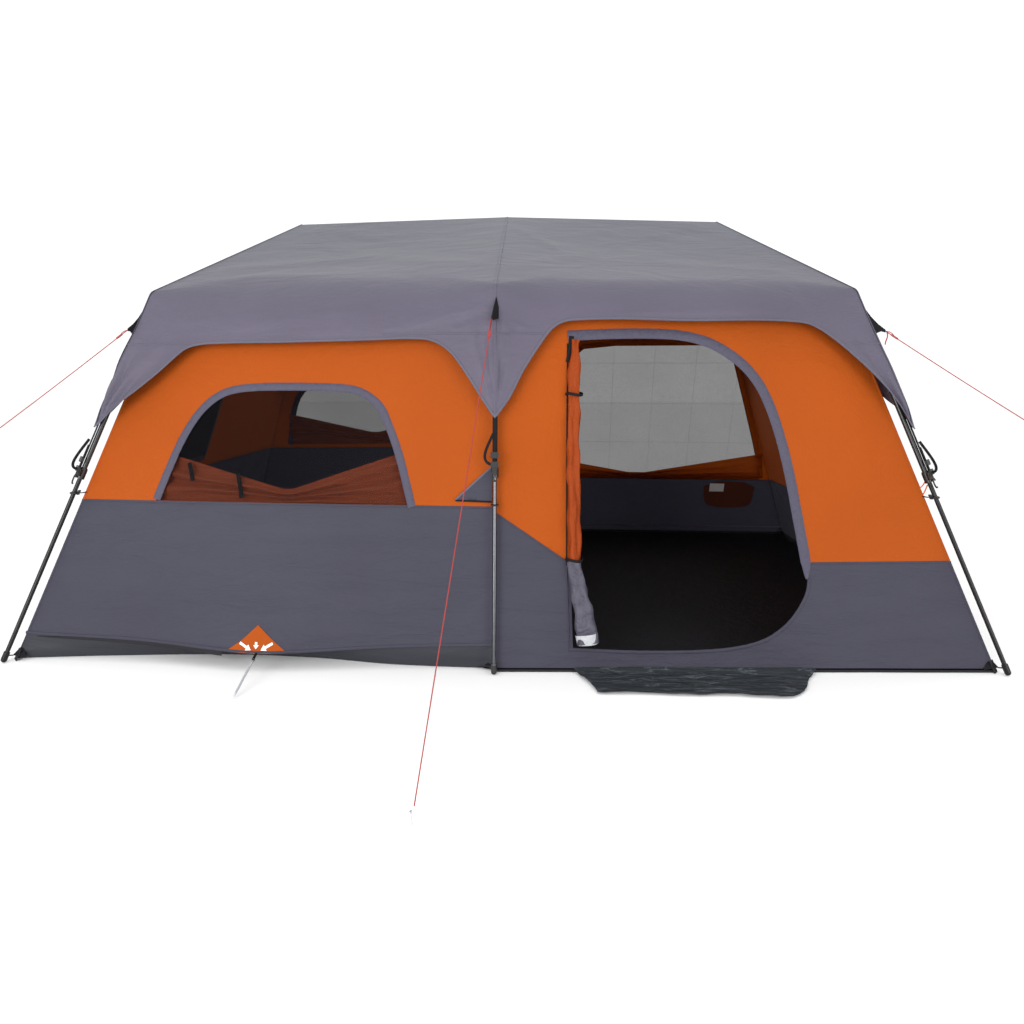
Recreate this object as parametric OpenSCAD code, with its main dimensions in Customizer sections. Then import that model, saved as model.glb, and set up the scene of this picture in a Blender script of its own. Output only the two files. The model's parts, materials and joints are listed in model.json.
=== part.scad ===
// Six-leg cabin tent with a folding hub frame.
// Millimetres, +Z up, -Y is the door side.
// The origin lies on the ground under the crown hub.

/* [Footprint] */
// Half the width between the corner feet
foot_x = 2205; // [2000:5:2400]
// Half the depth between the corner feet
foot_y = 1445; // [1300:5:1600]
// Half the depth between the centre feet
foot_cy = 1505; // [1400:5:1700]

/* [Roof frame] */
// Half the distance between the side hubs
hub_x = 1165; // [1000:5:1300]
// Height of the arm pivots on the crown hub
crown_z = 2122; // [1950:1:2250]
// Height of the arm pivots on the side hubs
hub_z = 2088; // [1930:1:2200]
// Half the width between the corner elbows
elbow_x = 1590; // [1450:5:1700]
// Half the depth between the corner elbows
elbow_y = 1005; // [900:5:1100]
// Half the depth between the centre elbows
elbow_cy = 1245; // [1150:5:1350]
// Height of all six elbows
elbow_z = 1615; // [1550:5:1700]
// Share of a corner arm that its inner tube takes
inner_share = 0.61; // [0.5:0.01:0.65]
// Share of a centre arm that its inner tube takes
inner_share_c = 0.66; // [0.5:0.01:0.7]

/* [Tubes] */
// Outer diameter of the roof tubes
arm_d = 19; // [16:0.5:20]
// Outer diameter of the upper leg tubes
leg_d = 22; // [20:0.5:23]
// Outer diameter of the lower leg tubes
shin_d = 18.4; // [15:0.2:18.6]
// Wall of every tube
tube_wall = 0.9; // [0.7:0.1:1.2]
// Length of a corner leg's upper tube
upper_len = 880; // [800:10:1000]
// Length of a centre leg's upper tube
upper_len_c = 770; // [700:10:900]

/* [Fabric] */
// Thickness of every cloth panel
cloth_t = 2; // [1.5:0.5:3]
// Height of the floor tub's rim
rim_h = 64; // [40:1:100]
// Height at which the wall panels begin
wall_z0 = 68; // [66:1:110]
// Height at which the wall panels end
wall_z1 = 1596; // [1500:1:1600]
// Height of the fly's hem on the front left and on the back
hem_z = 1415; // [1350:5:1500]
// Height of the fly's hem over the door
hem_door_z = 1500; // [1450:5:1540]
// Height of the fly's tips on the corner legs
tip_z = 1035; // [950:5:1150]
// Height of the fly's tips on the centre legs
tip_cz = 1092; // [950:5:1150]

/* [Hidden] */
$fn = 48;

eps = 0.03;          // play between a fitting and the tube or pin inside it
pivot_r = 40;        // from a hub's axis to each of its pivots
hub_r = 49;          // outer radius of a hub
hub_t = 18;          // thickness of a hub
slot_w = 14;         // width of a hub's slots and of the space inside a fork
tongue_w = 13.2;     // thickness of a tongue
fork_w = 22;         // outer width of a fork
lug_r = 8;           // radius of a lug round its pin
pin_r = 3;           // radius of every hinge pin
offset_k = 15;       // from a tube's axis to its knee or elbow pin
block_z0 = 14;       // where a tube's end fitting begins, from the pin
block_z1 = 36;       // where a tube's end fitting ends, from the pin
stroke = 740;        // telescoping travel of a corner leg
stroke_c = 630;      // telescoping travel of a centre leg
lap = 100;           // length of the lower tube inside the upper one
foot_r = 13;         // radius of a foot's round end
collar_r = 16.5;     // radius of a leg's collar
collar_h = 52;       // height of a leg's collar
button_r = 6;        // radius of a push button
fly_gap = 36;        // from a roof tube's axis up to the fly
wall_in = 34;        // from a leg's axis in to the wall
skirt_out = 22;      // from a leg's axis out to the fly's skirt
seat_z = 2;          // thickness of the groundsheet
leaf_y = 120;        // where the groundsheet's two leaves meet

// Which leg: [side, front or back]
FL = [-1, -1];
FC = [0, -1];
FR = [1, -1];
BL = [-1, 1];
BC = [0, 1];
BR = [1, 1];

// ---- Points and directions of the frame ----
function unit(v) = v / norm(v);
function lerp(a, b, k) = a + (b - a) * k;
function is_corner(leg) = leg[0] != 0;
function hub_centre(s) = s == 0 ? [0, 0, crown_z] : [s * hub_x, 0, hub_z];
function elbow(leg) = is_corner(leg)
    ? [leg[0] * elbow_x, leg[1] * elbow_y, elbow_z]
    : [0, leg[1] * elbow_cy, elbow_z];
function foot(leg) = is_corner(leg)
    ? [leg[0] * foot_x, leg[1] * foot_y, 0]
    : [0, leg[1] * foot_cy, 0];
function arm_heading(leg) =
    let (d = elbow(leg) - hub_centre(leg[0])) unit([d[0], d[1], 0]);
function arm_root(leg) = hub_centre(leg[0]) + arm_heading(leg) * pivot_r;
function arm_dir(leg) = unit(elbow(leg) - arm_root(leg));
function arm_axis(leg) = let (u = arm_heading(leg)) [-u[1], u[0], 0];
function arm_len(leg) = norm(elbow(leg) - arm_root(leg));
function inner_len(leg) = arm_len(leg) * (is_corner(leg) ? inner_share : inner_share_c);
function knee_pin(leg) = arm_root(leg) + arm_dir(leg) * inner_len(leg)
    - cross(arm_axis(leg), arm_dir(leg)) * offset_k;
function leg_dir(leg) = unit(foot(leg) - elbow(leg));
function elbow_axis(leg) = unit(cross(arm_dir(leg), leg_dir(leg)));
function elbow_pin(leg) = elbow(leg) + cross(elbow_axis(leg), arm_dir(leg)) * offset_k;
function leg_in(leg) = cross(elbow_axis(leg), leg_dir(leg));
function leg_top(leg) = elbow_pin(leg) - leg_in(leg) * offset_k;
function leg_len(leg) = (leg_top(leg)[2] - foot_r) / -leg_dir(leg)[2];
function upper_of(leg) = is_corner(leg) ? upper_len : upper_len_c;
// The point on a leg's axis at a height
function leg_at(leg, z) = leg_top(leg) + leg_dir(leg) * (leg_top(leg)[2] - z) / -leg_dir(leg)[2];

// Ridge: from the crown hub's pivot to the side hub's pivot
function ridge_root(s) = [s * pivot_r, 0, crown_z];
function ridge_end(s) = [s * (hub_x - pivot_r), 0, hub_z];
function ridge_dir(s) = unit(ridge_end(s) - ridge_root(s));
function ridge_axis(s) = [0, s, 0];
function ridge_len(s) = norm(ridge_end(s) - ridge_root(s));

// ---- Placing: local Z along z_dir and local Y along y_dir ----
module place(at, z_dir, y_dir) {
    x_dir = cross(y_dir, z_dir);
    translate(at)
        rotate([atan2(y_dir[2], z_dir[2]), -asin(x_dir[2]), atan2(x_dir[1], x_dir[0])])
            children();
}

// ---- Tubes and their end fittings ----
module tube(d, z0, z1) {
    translate([0, 0, z0]) difference() {
        cylinder(d = d, h = z1 - z0);
        translate([0, 0, -1]) cylinder(d = d - 2 * tube_wall, h = z1 - z0 + 2);
    }
}

// Side outline of an end fitting: a lug round the pin, joined to the block on the tube.
// The pin is at [0, 0] and the tube's axis at x = -off.
module lug_outline(off, half) {
    circle(r = lug_r);
    polygon([[-off - half, block_z0], [-off - half, block_z0 + 4], [-off + half, block_z0 + 4],
        [-off + half, block_z0], [lug_r * 0.7, lug_r * 0.7], [-lug_r * 0.7, lug_r * 0.7]]);
}

module flat(w) {
    translate([0, w / 2, 0]) rotate([90, 0, 0]) linear_extrude(w) children();
}

// Block with a socket for the tube, which runs toward +Z
module socket_block(off, tube_d) {
    half = tube_d / 2 + 1.5;
    difference() {
        translate([-off - half, -fork_w / 2, block_z0]) cube([2 * half, fork_w, block_z1 - block_z0]);
        translate([-off, 0, block_z0 + 5]) cylinder(d = tube_d + eps, h = block_z1);
    }
}

// Tongue: the middle part of a hinge, with the tube toward +Z
module tongue(off, tube_d) {
    difference() {
        union() {
            flat(tongue_w) lug_outline(off, tube_d / 2);
            socket_block(off, tube_d);
        }
        rotate([90, 0, 0]) cylinder(r = pin_r + 0.15, h = fork_w + 2, center = true);
    }
}

// Fork: the two outer cheeks of a hinge and its pin, with the tube toward +Z
module fork(off, tube_d) {
    difference() {
        union() {
            flat(fork_w) lug_outline(off, tube_d / 2);
            socket_block(off, tube_d);
        }
        translate([-40, -slot_w / 2, -lug_r - 1]) cube([80, slot_w, lug_r + block_z0 + 1]);
        rotate([90, 0, 0]) cylinder(r = pin_r + eps, h = fork_w + 2, center = true);
    }
    color("#c9ccd0") rotate([90, 0, 0]) {
        cylinder(r = pin_r, h = fork_w + 1, center = true);
        for (s = [-1, 1]) translate([0, 0, s * (fork_w / 2 + 1)]) cylinder(r = 4.6, h = 1, center = true);
    }
}

// ---- Hubs ----
// Turns local X to a level heading
module spoke(u) {
    rotate([0, 0, atan2(u[1], u[0])]) children();
}

module hub(headings) {
    color("#24262a") difference() {
        union() {
            translate([0, 0, -hub_t / 2]) cylinder(r = hub_r, h = hub_t);
            translate([0, 0, hub_t / 2]) cylinder(r1 = 34, r2 = 26, h = 8);
            translate([0, 0, -hub_t / 2 - 10]) cylinder(r = 20, h = 10);
        }
        for (u = headings) spoke(u) {
            translate([pivot_r - 13, -slot_w / 2, -30]) cube([60, slot_w, 60]);
            translate([pivot_r, 0, 0]) rotate([90, 0, 0]) cylinder(r = pin_r + eps, h = 27, center = true);
        }
    }
    color("#c9ccd0") for (u = headings) spoke(u)
        translate([pivot_r, 0, 0]) rotate([90, 0, 0]) cylinder(r = pin_r, h = 26, center = true);
}

module crown_hub() {
    translate(hub_centre(0)) hub([[1, 0, 0], [-1, 0, 0], arm_heading(FC), arm_heading(BC)]);
}

module side_hub(s) {
    translate(hub_centre(s)) hub([[-s, 0, 0], arm_heading([s, -1]), arm_heading([s, 1])]);
}

// ---- Roof tubes ----
// A tube from a hub to its knee; the knee's pin is on the upper side
module inner_strut(at, dir, axis, len) {
    color("#2f3136") place(at, dir, axis) {
        tongue(0, arm_d);
        tube(arm_d, block_z0 + 6, len - block_z0 - 6);
        translate([-offset_k, 0, len]) mirror([0, 0, 1]) fork(-offset_k, arm_d);
    }
}

module ridge_inner(s) {
    inner_strut(ridge_root(s), ridge_dir(s), ridge_axis(s), ridge_len(s) / 2);
}

module ridge_outer(s) {
    len = ridge_len(s) / 2;
    color("#2f3136") place(ridge_root(s) + ridge_dir(s) * len, ridge_dir(s), ridge_axis(s)) {
        translate([-offset_k, 0, 0]) tongue(-offset_k, arm_d);
        tube(arm_d, block_z0 + 6, len - block_z0 - 6);
        translate([0, 0, len]) mirror([0, 0, 1]) tongue(0, arm_d);
    }
}

module arm_inner(leg) {
    inner_strut(arm_root(leg), arm_dir(leg), arm_axis(leg), inner_len(leg));
}

module arm_outer(leg) {
    len = arm_len(leg) - inner_len(leg);
    knee = arm_root(leg) + arm_dir(leg) * inner_len(leg);
    color("#2f3136") {
        place(knee, arm_dir(leg), arm_axis(leg)) {
            translate([-offset_k, 0, 0]) tongue(-offset_k, arm_d);
            tube(arm_d, block_z0 + 6, len - block_z0 - 6);
        }
        place(elbow_pin(leg), arm_dir(leg), elbow_axis(leg)) mirror([0, 0, 1]) fork(offset_k, arm_d);
    }
}

// ---- Legs ----
module leg_frame(leg) {
    place(leg_top(leg), leg_dir(leg), elbow_axis(leg)) children();
}

module collar(leg) {
    z1 = upper_of(leg) + 8;
    z0 = z1 - collar_h;
    difference() {
        union() {
            translate([0, 0, z0]) cylinder(r1 = collar_r - 2, r2 = collar_r, h = 8);
            translate([0, 0, z0 + 8]) cylinder(r = collar_r, h = collar_h - 8);
            translate([-25, -11, z0 + 9]) cube([25, 22, 32]);
        }
        translate([0, 0, z0 - 1]) cylinder(d = leg_d + eps, h = collar_h - 7 + eps);
        translate([0, 0, z0]) cylinder(d = shin_d + 0.8, h = collar_h + 2);
        translate([-26, 0, z0 + 25]) rotate([0, 90, 0]) cylinder(r = button_r + 0.3, h = 12.4);
    }
}

module leg_upper(leg) {
    leg_frame(leg) {
        color("#17181a") translate([offset_k, 0, 0]) tongue(offset_k, leg_d);
        color("#2f3136") tube(leg_d, block_z0 + 6, upper_of(leg));
        color("#17181a") collar(leg);
    }
}

module leg_lower(leg) {
    ball = leg_len(leg);
    leg_frame(leg) {
        color("#8b8e93") tube(shin_d, upper_of(leg) - lap, ball - 10);
        color("#17181a") difference() {
            union() {
                translate([0, 0, ball - 36]) cylinder(r = foot_r, h = 36);
                translate([0, 0, ball]) sphere(r = foot_r);
            }
            translate([0, 0, ball - 37]) cylinder(d = shin_d + eps, h = 27);
        }
    }
}

module button(leg) {
    z = upper_of(leg) + 8 - collar_h + 25;
    color("#101113") leg_frame(leg)
        translate([-27.5, 0, z]) rotate([0, 90, 0]) cylinder(r = button_r, h = 9);
}

// ---- Cloth ----
// Faces listed the other way round, for a panel whose points run the other way
function reversed(face) = [for (i = [len(face) - 1 : -1 : 0]) face[i]];
function facing(faces, flip) = flip ? [for (f = faces) reversed(f)] : faces;

// A closed panel between two edges with as many points each, cloth_t thick along way
module panel(top, bottom, way) {
    n = len(top);
    flip = cross(bottom[0] - top[0], top[n - 1] - top[0]) * way > 0;
    pts = concat(top, bottom, [for (p = top) p + way * cloth_t], [for (p = bottom) p + way * cloth_t]);
    quads = [for (i = [0 : n - 2]) each [
        [i, i + 1, n + i], [i + 1, n + i + 1, n + i],
        [2 * n + i + 1, 2 * n + i, 3 * n + i], [2 * n + i + 1, 3 * n + i, 3 * n + i + 1],
        [i + 1, i, 2 * n + i], [i + 1, 2 * n + i, 2 * n + i + 1],
        [n + i, n + i + 1, 3 * n + i + 1], [n + i, 3 * n + i + 1, 3 * n + i]]];
    ends = [
        [0, n, 2 * n], [n, 3 * n, 2 * n],
        [n - 1, 3 * n - 1, 2 * n - 1], [2 * n - 1, 3 * n - 1, 4 * n - 1]];
    polyhedron(pts, facing(concat(quads, ends), flip));
}

// A three-cornered panel
module gore(a, b, c, way) {
    up = way * cloth_t;
    flip = cross(b - a, c - a) * way < 0;
    polyhedron([a, b, c, a + up, b + up, c + up], facing(
        [[0, 1, 2], [5, 4, 3], [1, 0, 3], [1, 3, 4], [2, 1, 4], [2, 4, 5], [0, 2, 5], [0, 5, 3]], flip));
}

// Lines beside a leg: the wall's edge inside it and the fly's edge outside it
function away(leg, d) = [leg[0] * d, leg[1] * d, 0];
function wall_line(leg, z) = leg_at(leg, z) - away(leg, wall_in);
function side_wall_line(leg, z) = wall_line(leg, z) - [0, leg[1] * (cloth_t + 1), 0];
function skirt_line(leg, z) = leg_at(leg, z) + away(leg, skirt_out);
function eave(leg) = skirt_line(leg, elbow_z + fly_gap - 10);
function roof_peak(s) = hub_centre(s) + [s * 34, 0, fly_gap + 2];

// Front and back walls: from a corner leg to the centre leg
module wall(corner, centre) {
    panel([wall_line(corner, wall_z1), wall_line(centre, wall_z1)],
        [wall_line(corner, wall_z0), wall_line(centre, wall_z0)], [0, corner[1] * -1, 0]);
}

// Side walls: from the front leg to the back leg
module wall_sides() {
    color("#c8602a") for (s = [-1, 1])
        panel([side_wall_line([s, -1], wall_z1), side_wall_line([s, 1], wall_z1)],
            [side_wall_line([s, -1], wall_z0), side_wall_line([s, 1], wall_z0)], [-s, 0, 0]);
}

// Outlines as [x, z], seen from the front
window_outline = [[-1525, 715], [-1480, 850], [-1430, 1008], [-1354, 1132], [-1252, 1208], [-1119, 1232],
    [-654, 1229], [-568, 1203], [-491, 1143], [-455, 1054], [-414, 926], [-363, 715]];
door_outline = [[320, 100], [309, 1457], [846, 1457], [1044, 1375], [1188, 1228], [1281, 974],
    [1340, 673], [1379, 449], [1360, 345], [1262, 195], [1045, 101]];
back_left_outline = [[-1760, 730], [-1730, 900], [-1670, 1080], [-1590, 1180], [-1480, 1235],
    [-700, 1235], [-560, 1180], [-470, 1040], [-400, 730]];
back_right_outline = [[430, 470], [430, 1420], [540, 1510], [1440, 1510], [1600, 1470], [1680, 1350],
    [1806, 992], [1890, 654], [1880, 470]];

// A prism along Y that cuts an outline through the front or the back wall
module through(outline, side) {
    y0 = side < 0 ? -1700 : 900;
    translate([0, y0 + 800, 0]) rotate([90, 0, 0]) linear_extrude(800) polygon(outline);
}

module wall_front_left() {
    color("#c8602a") difference() { wall(FL, FC); through(window_outline, -1); }
}

module wall_front_right() {
    color("#c8602a") difference() { wall(FR, FC); through(door_outline, -1); }
}

module wall_back_left() {
    color("#c8602a") difference() { wall(BL, BC); through(back_left_outline, 1); }
}

module wall_back_right() {
    color("#c8602a") difference() { wall(BR, BC); through(back_right_outline, 1); }
}

// Insect mesh that fills the front window and both back windows
module mesh_windows() {
    color("#8f8f98") {
        intersection() { wall(FL, FC); through(window_outline, -1); }
        intersection() { wall(BL, BC); through(back_left_outline, 1); }
        intersection() { wall(BR, BC); through(back_right_outline, 1); }
    }
}

// ---- Fly ----
module fly_face(corner) {
    centre = [0, corner[1]];
    color("#6d6a78") panel([roof_peak(corner[0]), roof_peak(0)], [eave(corner), eave(centre)], [0, 0, 1]);
}

module fly_sides() {
    color("#6d6a78") for (s = [-1, 1]) gore(roof_peak(s), eave([s, -1]), eave([s, 1]), [0, 0, 1]);
}

// Height of the hem at share k of the way, with a tip of width w at each end
function hem(k, level, tip0, tip1, w) = level
    - (level - tip0) * pow(max(0, 1 - k / w), 1.4)
    - (level - tip1) * pow(max(0, 1 - (1 - k) / w), 1.4);

module skirt(from, to, level, way) {
    steps = 16;
    tip0 = is_corner(from) ? tip_z : tip_cz;
    tip1 = is_corner(to) ? tip_z : tip_cz;
    top_z = elbow_z + fly_gap - 12;
    seam = 0.003;
    shares = [for (i = [0 : steps]) lerp(seam, 1 - seam, i / steps)];
    panel([for (k = shares) lerp(skirt_line(from, top_z), skirt_line(to, top_z), k)],
        [for (k = shares) let (z = hem(k, level, tip0, tip1, 0.24))
            lerp(skirt_line(from, z), skirt_line(to, z), k)], way);
}

module fly_skirt() {
    color("#6d6a78") {
        skirt(FL, FC, hem_z, [0, 1, 0]);
        skirt(FR, FC, hem_door_z, [0, 1, 0]);
        skirt(BL, BC, hem_z, [0, -1, 0]);
        skirt(BR, BC, hem_z, [0, -1, 0]);
        skirt(FL, BL, hem_z, [1, 0, 0]);
        skirt(FR, BR, hem_z, [-1, 0, 0]);
    }
}

// ---- Floor ----
function plan(p, d) = [p[0] - sign(p[0]) * d, p[1] - sign(p[1]) * d];
floor_legs = [FL, FC, FR, BR, BC, BL];
function floor_outline(d) = [for (leg = floor_legs) plan(wall_line(leg, wall_z0), d)];

// The upright rim round the floor
module tub_rim() {
    color("#26272b") difference() {
        linear_extrude(rim_h) polygon(floor_outline(0));
        translate([0, 0, -1]) linear_extrude(rim_h + 2) polygon(floor_outline(cloth_t * 2));
    }
}

// The groundsheet folds up with the frame, so it is made in two leaves
module floor_leaf(y0, y1) {
    color("#26272b") intersection() {
        linear_extrude(seat_z) polygon(floor_outline(cloth_t * 2 + 3));
        translate([-foot_x, y0, -1]) cube([2 * foot_x, y1 - y0, seat_z + 2]);
    }
}

module floor_front() {
    floor_leaf(-foot_cy, leaf_y - 1);
}

module floor_back() {
    floor_leaf(leaf_y + 1, foot_cy);
}

module door_mat() {
    color("#3b3c41") linear_extrude(3)
        polygon([[340, -1482], [1390, -1478], [1215, -1760], [430, -1778]]);
}

// The door panel, rolled up along the left edge of the doorway
module door_panel() {
    top = [378, -1262, 1400];
    bottom = [408, -1438, 130];
    color("#c8602a") place(bottom, unit(top - bottom), [0, 1, 0] - unit(top - bottom) * unit(top - bottom)[1])
        cylinder(r = 27, h = norm(top - bottom));
}

module storage_pocket() {
    color("#8a3226") translate([1470, 1284, 240]) cube([380, 14, 170]);
}

// ---- Pegs and guy lines ----
peg_d = 7;           // thickness of the guy line's peg
vent_peg_d = 10;     // thickness of the front wall's peg

// Peg that holds the front left wall's foot out, with its strap
module vent_peg() {
    top = [-1027, -1548, 72];
    tip = [-1021, -1792, vent_peg_d / 2 + 1];
    color("#b9bcc1") place(tip, unit(top - tip), unit(cross(unit(top - tip), [1, 0, 0])))
        cylinder(d = vent_peg_d, h = norm(top - tip));
    color("#111214") translate([-1040, -1578, 56]) cube([26, 30, 18]);
}

guy_d = 4;           // thickness of a guy line
guy_steps = 16;      // stretches of a guy line's route
function guy_route(from, to, sag) = [for (i = [0 : guy_steps]) let (k = i / guy_steps)
    lerp(from, to, k) - [0, 0, 4 * sag * k * (1 - k)]];
guy_front_route = guy_route([-9, -1335, 1515], [-171, -2565, 40], 0);
guy_left_route = guy_route([-1687, -1100, 1468], [-2322, -1215, 986], 3);
guy_right_route = guy_route([1712, -1100, 1456], [2346, -1215, 1040], 3);

// A tube of 8 sides round a route, with a ring at each of its points and between them
rings_between = 3;
function fill_route(r) = [for (i = [0 : len(r) - 2]) each
    [for (k = [0 : rings_between - 1]) lerp(r[i], r[i + 1], k / rings_between)], r[len(r) - 1]];
module cord(route, d) {
    p = fill_route(route);
    n = len(p);
    way = unit(p[n - 1] - p[0]);
    side = unit(cross(way, [0, 0, 1]));
    up = cross(side, way);
    pts = [for (q = p) each [for (a = [0 : 7]) q + (side * cos(a * 45) + up * sin(a * 45)) * d / 2]];
    polyhedron(pts, concat([[for (a = [0 : 7]) a]], [[for (a = [7 : -1 : 0]) (n - 1) * 8 + a]],
        [for (i = [0 : n - 2]) each [for (a = [0 : 7])
            [i * 8 + a, (i + 1) * 8 + a, (i + 1) * 8 + (a + 1) % 8, i * 8 + (a + 1) % 8]]]));
}

module guy_front() { color("#c8483a") cord(guy_front_route, guy_d); }
module guy_left() { color("#c8483a") cord(guy_left_route, guy_d); }
module guy_right() { color("#c8483a") cord(guy_right_route, guy_d); }

// Steel peg with a hook, at the end of the front guy line
module guy_peg() {
    color("#b9bcc1") {
        translate([-176, -2592, 0]) cylinder(d = peg_d, h = 44);
        translate([-176, -2592, 40]) rotate([70, 0, -8]) cylinder(d = peg_d, h = 22);
    }
}

crown_hub();
side_hub(-1);  // side_hub_l
side_hub(1);  // side_hub_r
ridge_inner(-1);  // ridge_inner_l
ridge_inner(1);  // ridge_inner_r
ridge_outer(-1);  // ridge_outer_l
ridge_outer(1);  // ridge_outer_r
arm_inner(FL);  // arm_inner_fl
arm_inner(FC);  // arm_inner_fc
arm_inner(FR);  // arm_inner_fr
arm_inner(BL);  // arm_inner_bl
arm_inner(BC);  // arm_inner_bc
arm_inner(BR);  // arm_inner_br
arm_outer(FL);  // arm_outer_fl
arm_outer(FC);  // arm_outer_fc
arm_outer(FR);  // arm_outer_fr
arm_outer(BL);  // arm_outer_bl
arm_outer(BC);  // arm_outer_bc
arm_outer(BR);  // arm_outer_br
leg_upper(FL);  // leg_upper_fl
leg_upper(FC);  // leg_upper_fc
leg_upper(FR);  // leg_upper_fr
leg_upper(BL);  // leg_upper_bl
leg_upper(BC);  // leg_upper_bc
leg_upper(BR);  // leg_upper_br
leg_lower(FL);  // leg_lower_fl
leg_lower(FC);  // leg_lower_fc
leg_lower(FR);  // leg_lower_fr
leg_lower(BL);  // leg_lower_bl
leg_lower(BC);  // leg_lower_bc
leg_lower(BR);  // leg_lower_br
button(FL);  // button_fl
button(FC);  // button_fc
button(FR);  // button_fr
button(BL);  // button_bl
button(BC);  // button_bc
button(BR);  // button_br
fly_face(FL);  // fly_front_left
fly_face(FR);  // fly_front_right
fly_face(BL);  // fly_back_left
fly_face(BR);  // fly_back_right
fly_sides();
fly_skirt();
wall_front_left();
wall_front_right();
wall_back_left();
wall_back_right();
wall_sides();
tub_rim();
floor_front();
floor_back();
mesh_windows();
door_panel();
storage_pocket();
door_mat();
vent_peg();
guy_front();
guy_left();
guy_right();
guy_peg();
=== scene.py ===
"""Six-leg cabin tent: cloth, webbing, window, door, floor and guy lines, placed on the CAD frame."""
import json
import math

import bpy
import numpy as np
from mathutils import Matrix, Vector, geometry, noise


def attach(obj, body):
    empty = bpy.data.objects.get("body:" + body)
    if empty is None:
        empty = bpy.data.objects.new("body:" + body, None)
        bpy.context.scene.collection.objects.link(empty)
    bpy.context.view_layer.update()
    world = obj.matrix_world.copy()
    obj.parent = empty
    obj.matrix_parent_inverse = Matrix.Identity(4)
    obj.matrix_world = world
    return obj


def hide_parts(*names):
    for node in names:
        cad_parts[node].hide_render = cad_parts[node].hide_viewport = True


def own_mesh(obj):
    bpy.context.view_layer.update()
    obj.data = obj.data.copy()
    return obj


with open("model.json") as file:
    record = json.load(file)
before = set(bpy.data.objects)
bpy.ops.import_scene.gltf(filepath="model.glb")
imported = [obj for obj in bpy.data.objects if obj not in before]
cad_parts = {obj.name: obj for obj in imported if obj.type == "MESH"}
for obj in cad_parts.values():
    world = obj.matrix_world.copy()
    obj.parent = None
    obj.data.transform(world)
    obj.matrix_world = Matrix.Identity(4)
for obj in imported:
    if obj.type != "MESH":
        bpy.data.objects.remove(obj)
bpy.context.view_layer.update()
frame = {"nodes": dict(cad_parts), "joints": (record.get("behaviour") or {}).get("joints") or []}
JOINTS = {joint["name"]: joint for joint in frame["joints"]}
FOLD = "roof_fold"

# ---- Camera ----
CAMERA_AT = (0.1768, -4.5038, 1.2717)
CAMERA_PITCH = math.radians(79.41)
CAMERA_YAW = math.radians(1.896)
CAMERA_LENS = 26.0


def make_camera():
    data = bpy.data.cameras.new("view_camera")
    data.lens = CAMERA_LENS
    camera = bpy.data.objects.new("view_camera", data)
    camera.location = CAMERA_AT
    camera.rotation_euler = (CAMERA_PITCH, 0.0, CAMERA_YAW)
    bpy.context.scene.collection.objects.link(camera)
    bpy.context.scene.camera = camera


make_camera()

# ---- Small helpers ----
UP = Vector((0, 0, 1))


def lerp(a, b, k):
    return a + (b - a) * k


def smooth(k):
    k = min(1.0, max(0.0, k))
    return k * k * (3 - 2 * k)


def between(a, b, steps):
    """The line from a to b, in equal steps."""
    return [lerp(a, b, i / steps) for i in range(steps + 1)]


def hanging(a, b, steps, sag):
    """The line from a to b, sagging in its middle."""
    return [lerp(a, b, i / steps) - UP * sag * math.sin(math.pi * i / steps) for i in range(steps + 1)]


def circle(middle, a, b, steps):
    """A closed ring of points; a and b are its two half axes."""
    turns = [2 * math.pi * i / steps for i in range(steps + 1)]
    return [middle + a * math.cos(turn) + b * math.sin(turn) for turn in turns]


def ease_through(points, x):
    """Height at x of a smooth line through the points, level where they are level."""
    xs = [p[0] for p in points]
    zs = [p[1] for p in points]
    slopes = [(zs[i + 1] - zs[i]) / (xs[i + 1] - xs[i]) for i in range(len(xs) - 1)]
    if x <= xs[0]:
        return zs[0]
    if x >= xs[-1]:
        return zs[-1]
    i = max(j for j in range(len(xs) - 1) if xs[j] <= x)
    before = slopes[i] if i == 0 else 0.5 * (slopes[i - 1] + slopes[i])
    after = slopes[i] if i == len(slopes) - 1 else 0.5 * (slopes[i] + slopes[i + 1])
    width = xs[i + 1] - xs[i]
    t = (x - xs[i]) / width
    return (
        (2 * t**3 - 3 * t**2 + 1) * zs[i]
        + (t**3 - 2 * t**2 + t) * width * before
        + (3 * t**2 - 2 * t**3) * zs[i + 1]
        + (t**3 - t**2) * width * after
    )


def rounded(points, closed=False, passes=2):
    """The same line with its corners cut and cut again, so that it curves."""
    for _ in range(passes):
        cut = []
        last = len(points) if closed else len(points) - 1
        for i in range(last):
            a, b = points[i], points[(i + 1) % len(points)]
            cut += [lerp(a, b, 0.25), lerp(a, b, 0.75)]
        points = cut if closed else [points[0]] + cut + [points[-1]]
    return points


def spaced(points, step, closed=False):
    """The same line with a point about every step metres."""
    line = []
    ends = len(points) if closed else len(points) - 1
    for i in range(ends):
        a, b = points[i], points[(i + 1) % len(points)]
        count = max(1, round((b - a).length / step))
        line += [lerp(a, b, j / count) for j in range(count)]
    return line if closed else line + [points[-1]]


def ripple(seed, x, y, z=0.0):
    """Smooth noise from -1 to 1."""
    return noise.noise(Vector((x + 17.3 * seed, y - 9.1 * seed, z)))


# ---- Legs, and the lines of the cloth beside them ----
PIN_OFFSET = 0.015     # from a leg's axis to its elbow pin
WALL_IN = 0.034        # the walls' edges lie this far inside the legs' axes
SKIRT_OUT = 0.022      # the fly's skirt lies this far outside them
FLY_GAP = 0.036        # from the roof frame's hinges up to the fly
LEG_SIDES = {"fl": (-1, -1), "fc": (0, -1), "fr": (1, -1), "bl": (-1, 1), "bc": (0, 1), "br": (1, 1)}


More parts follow.
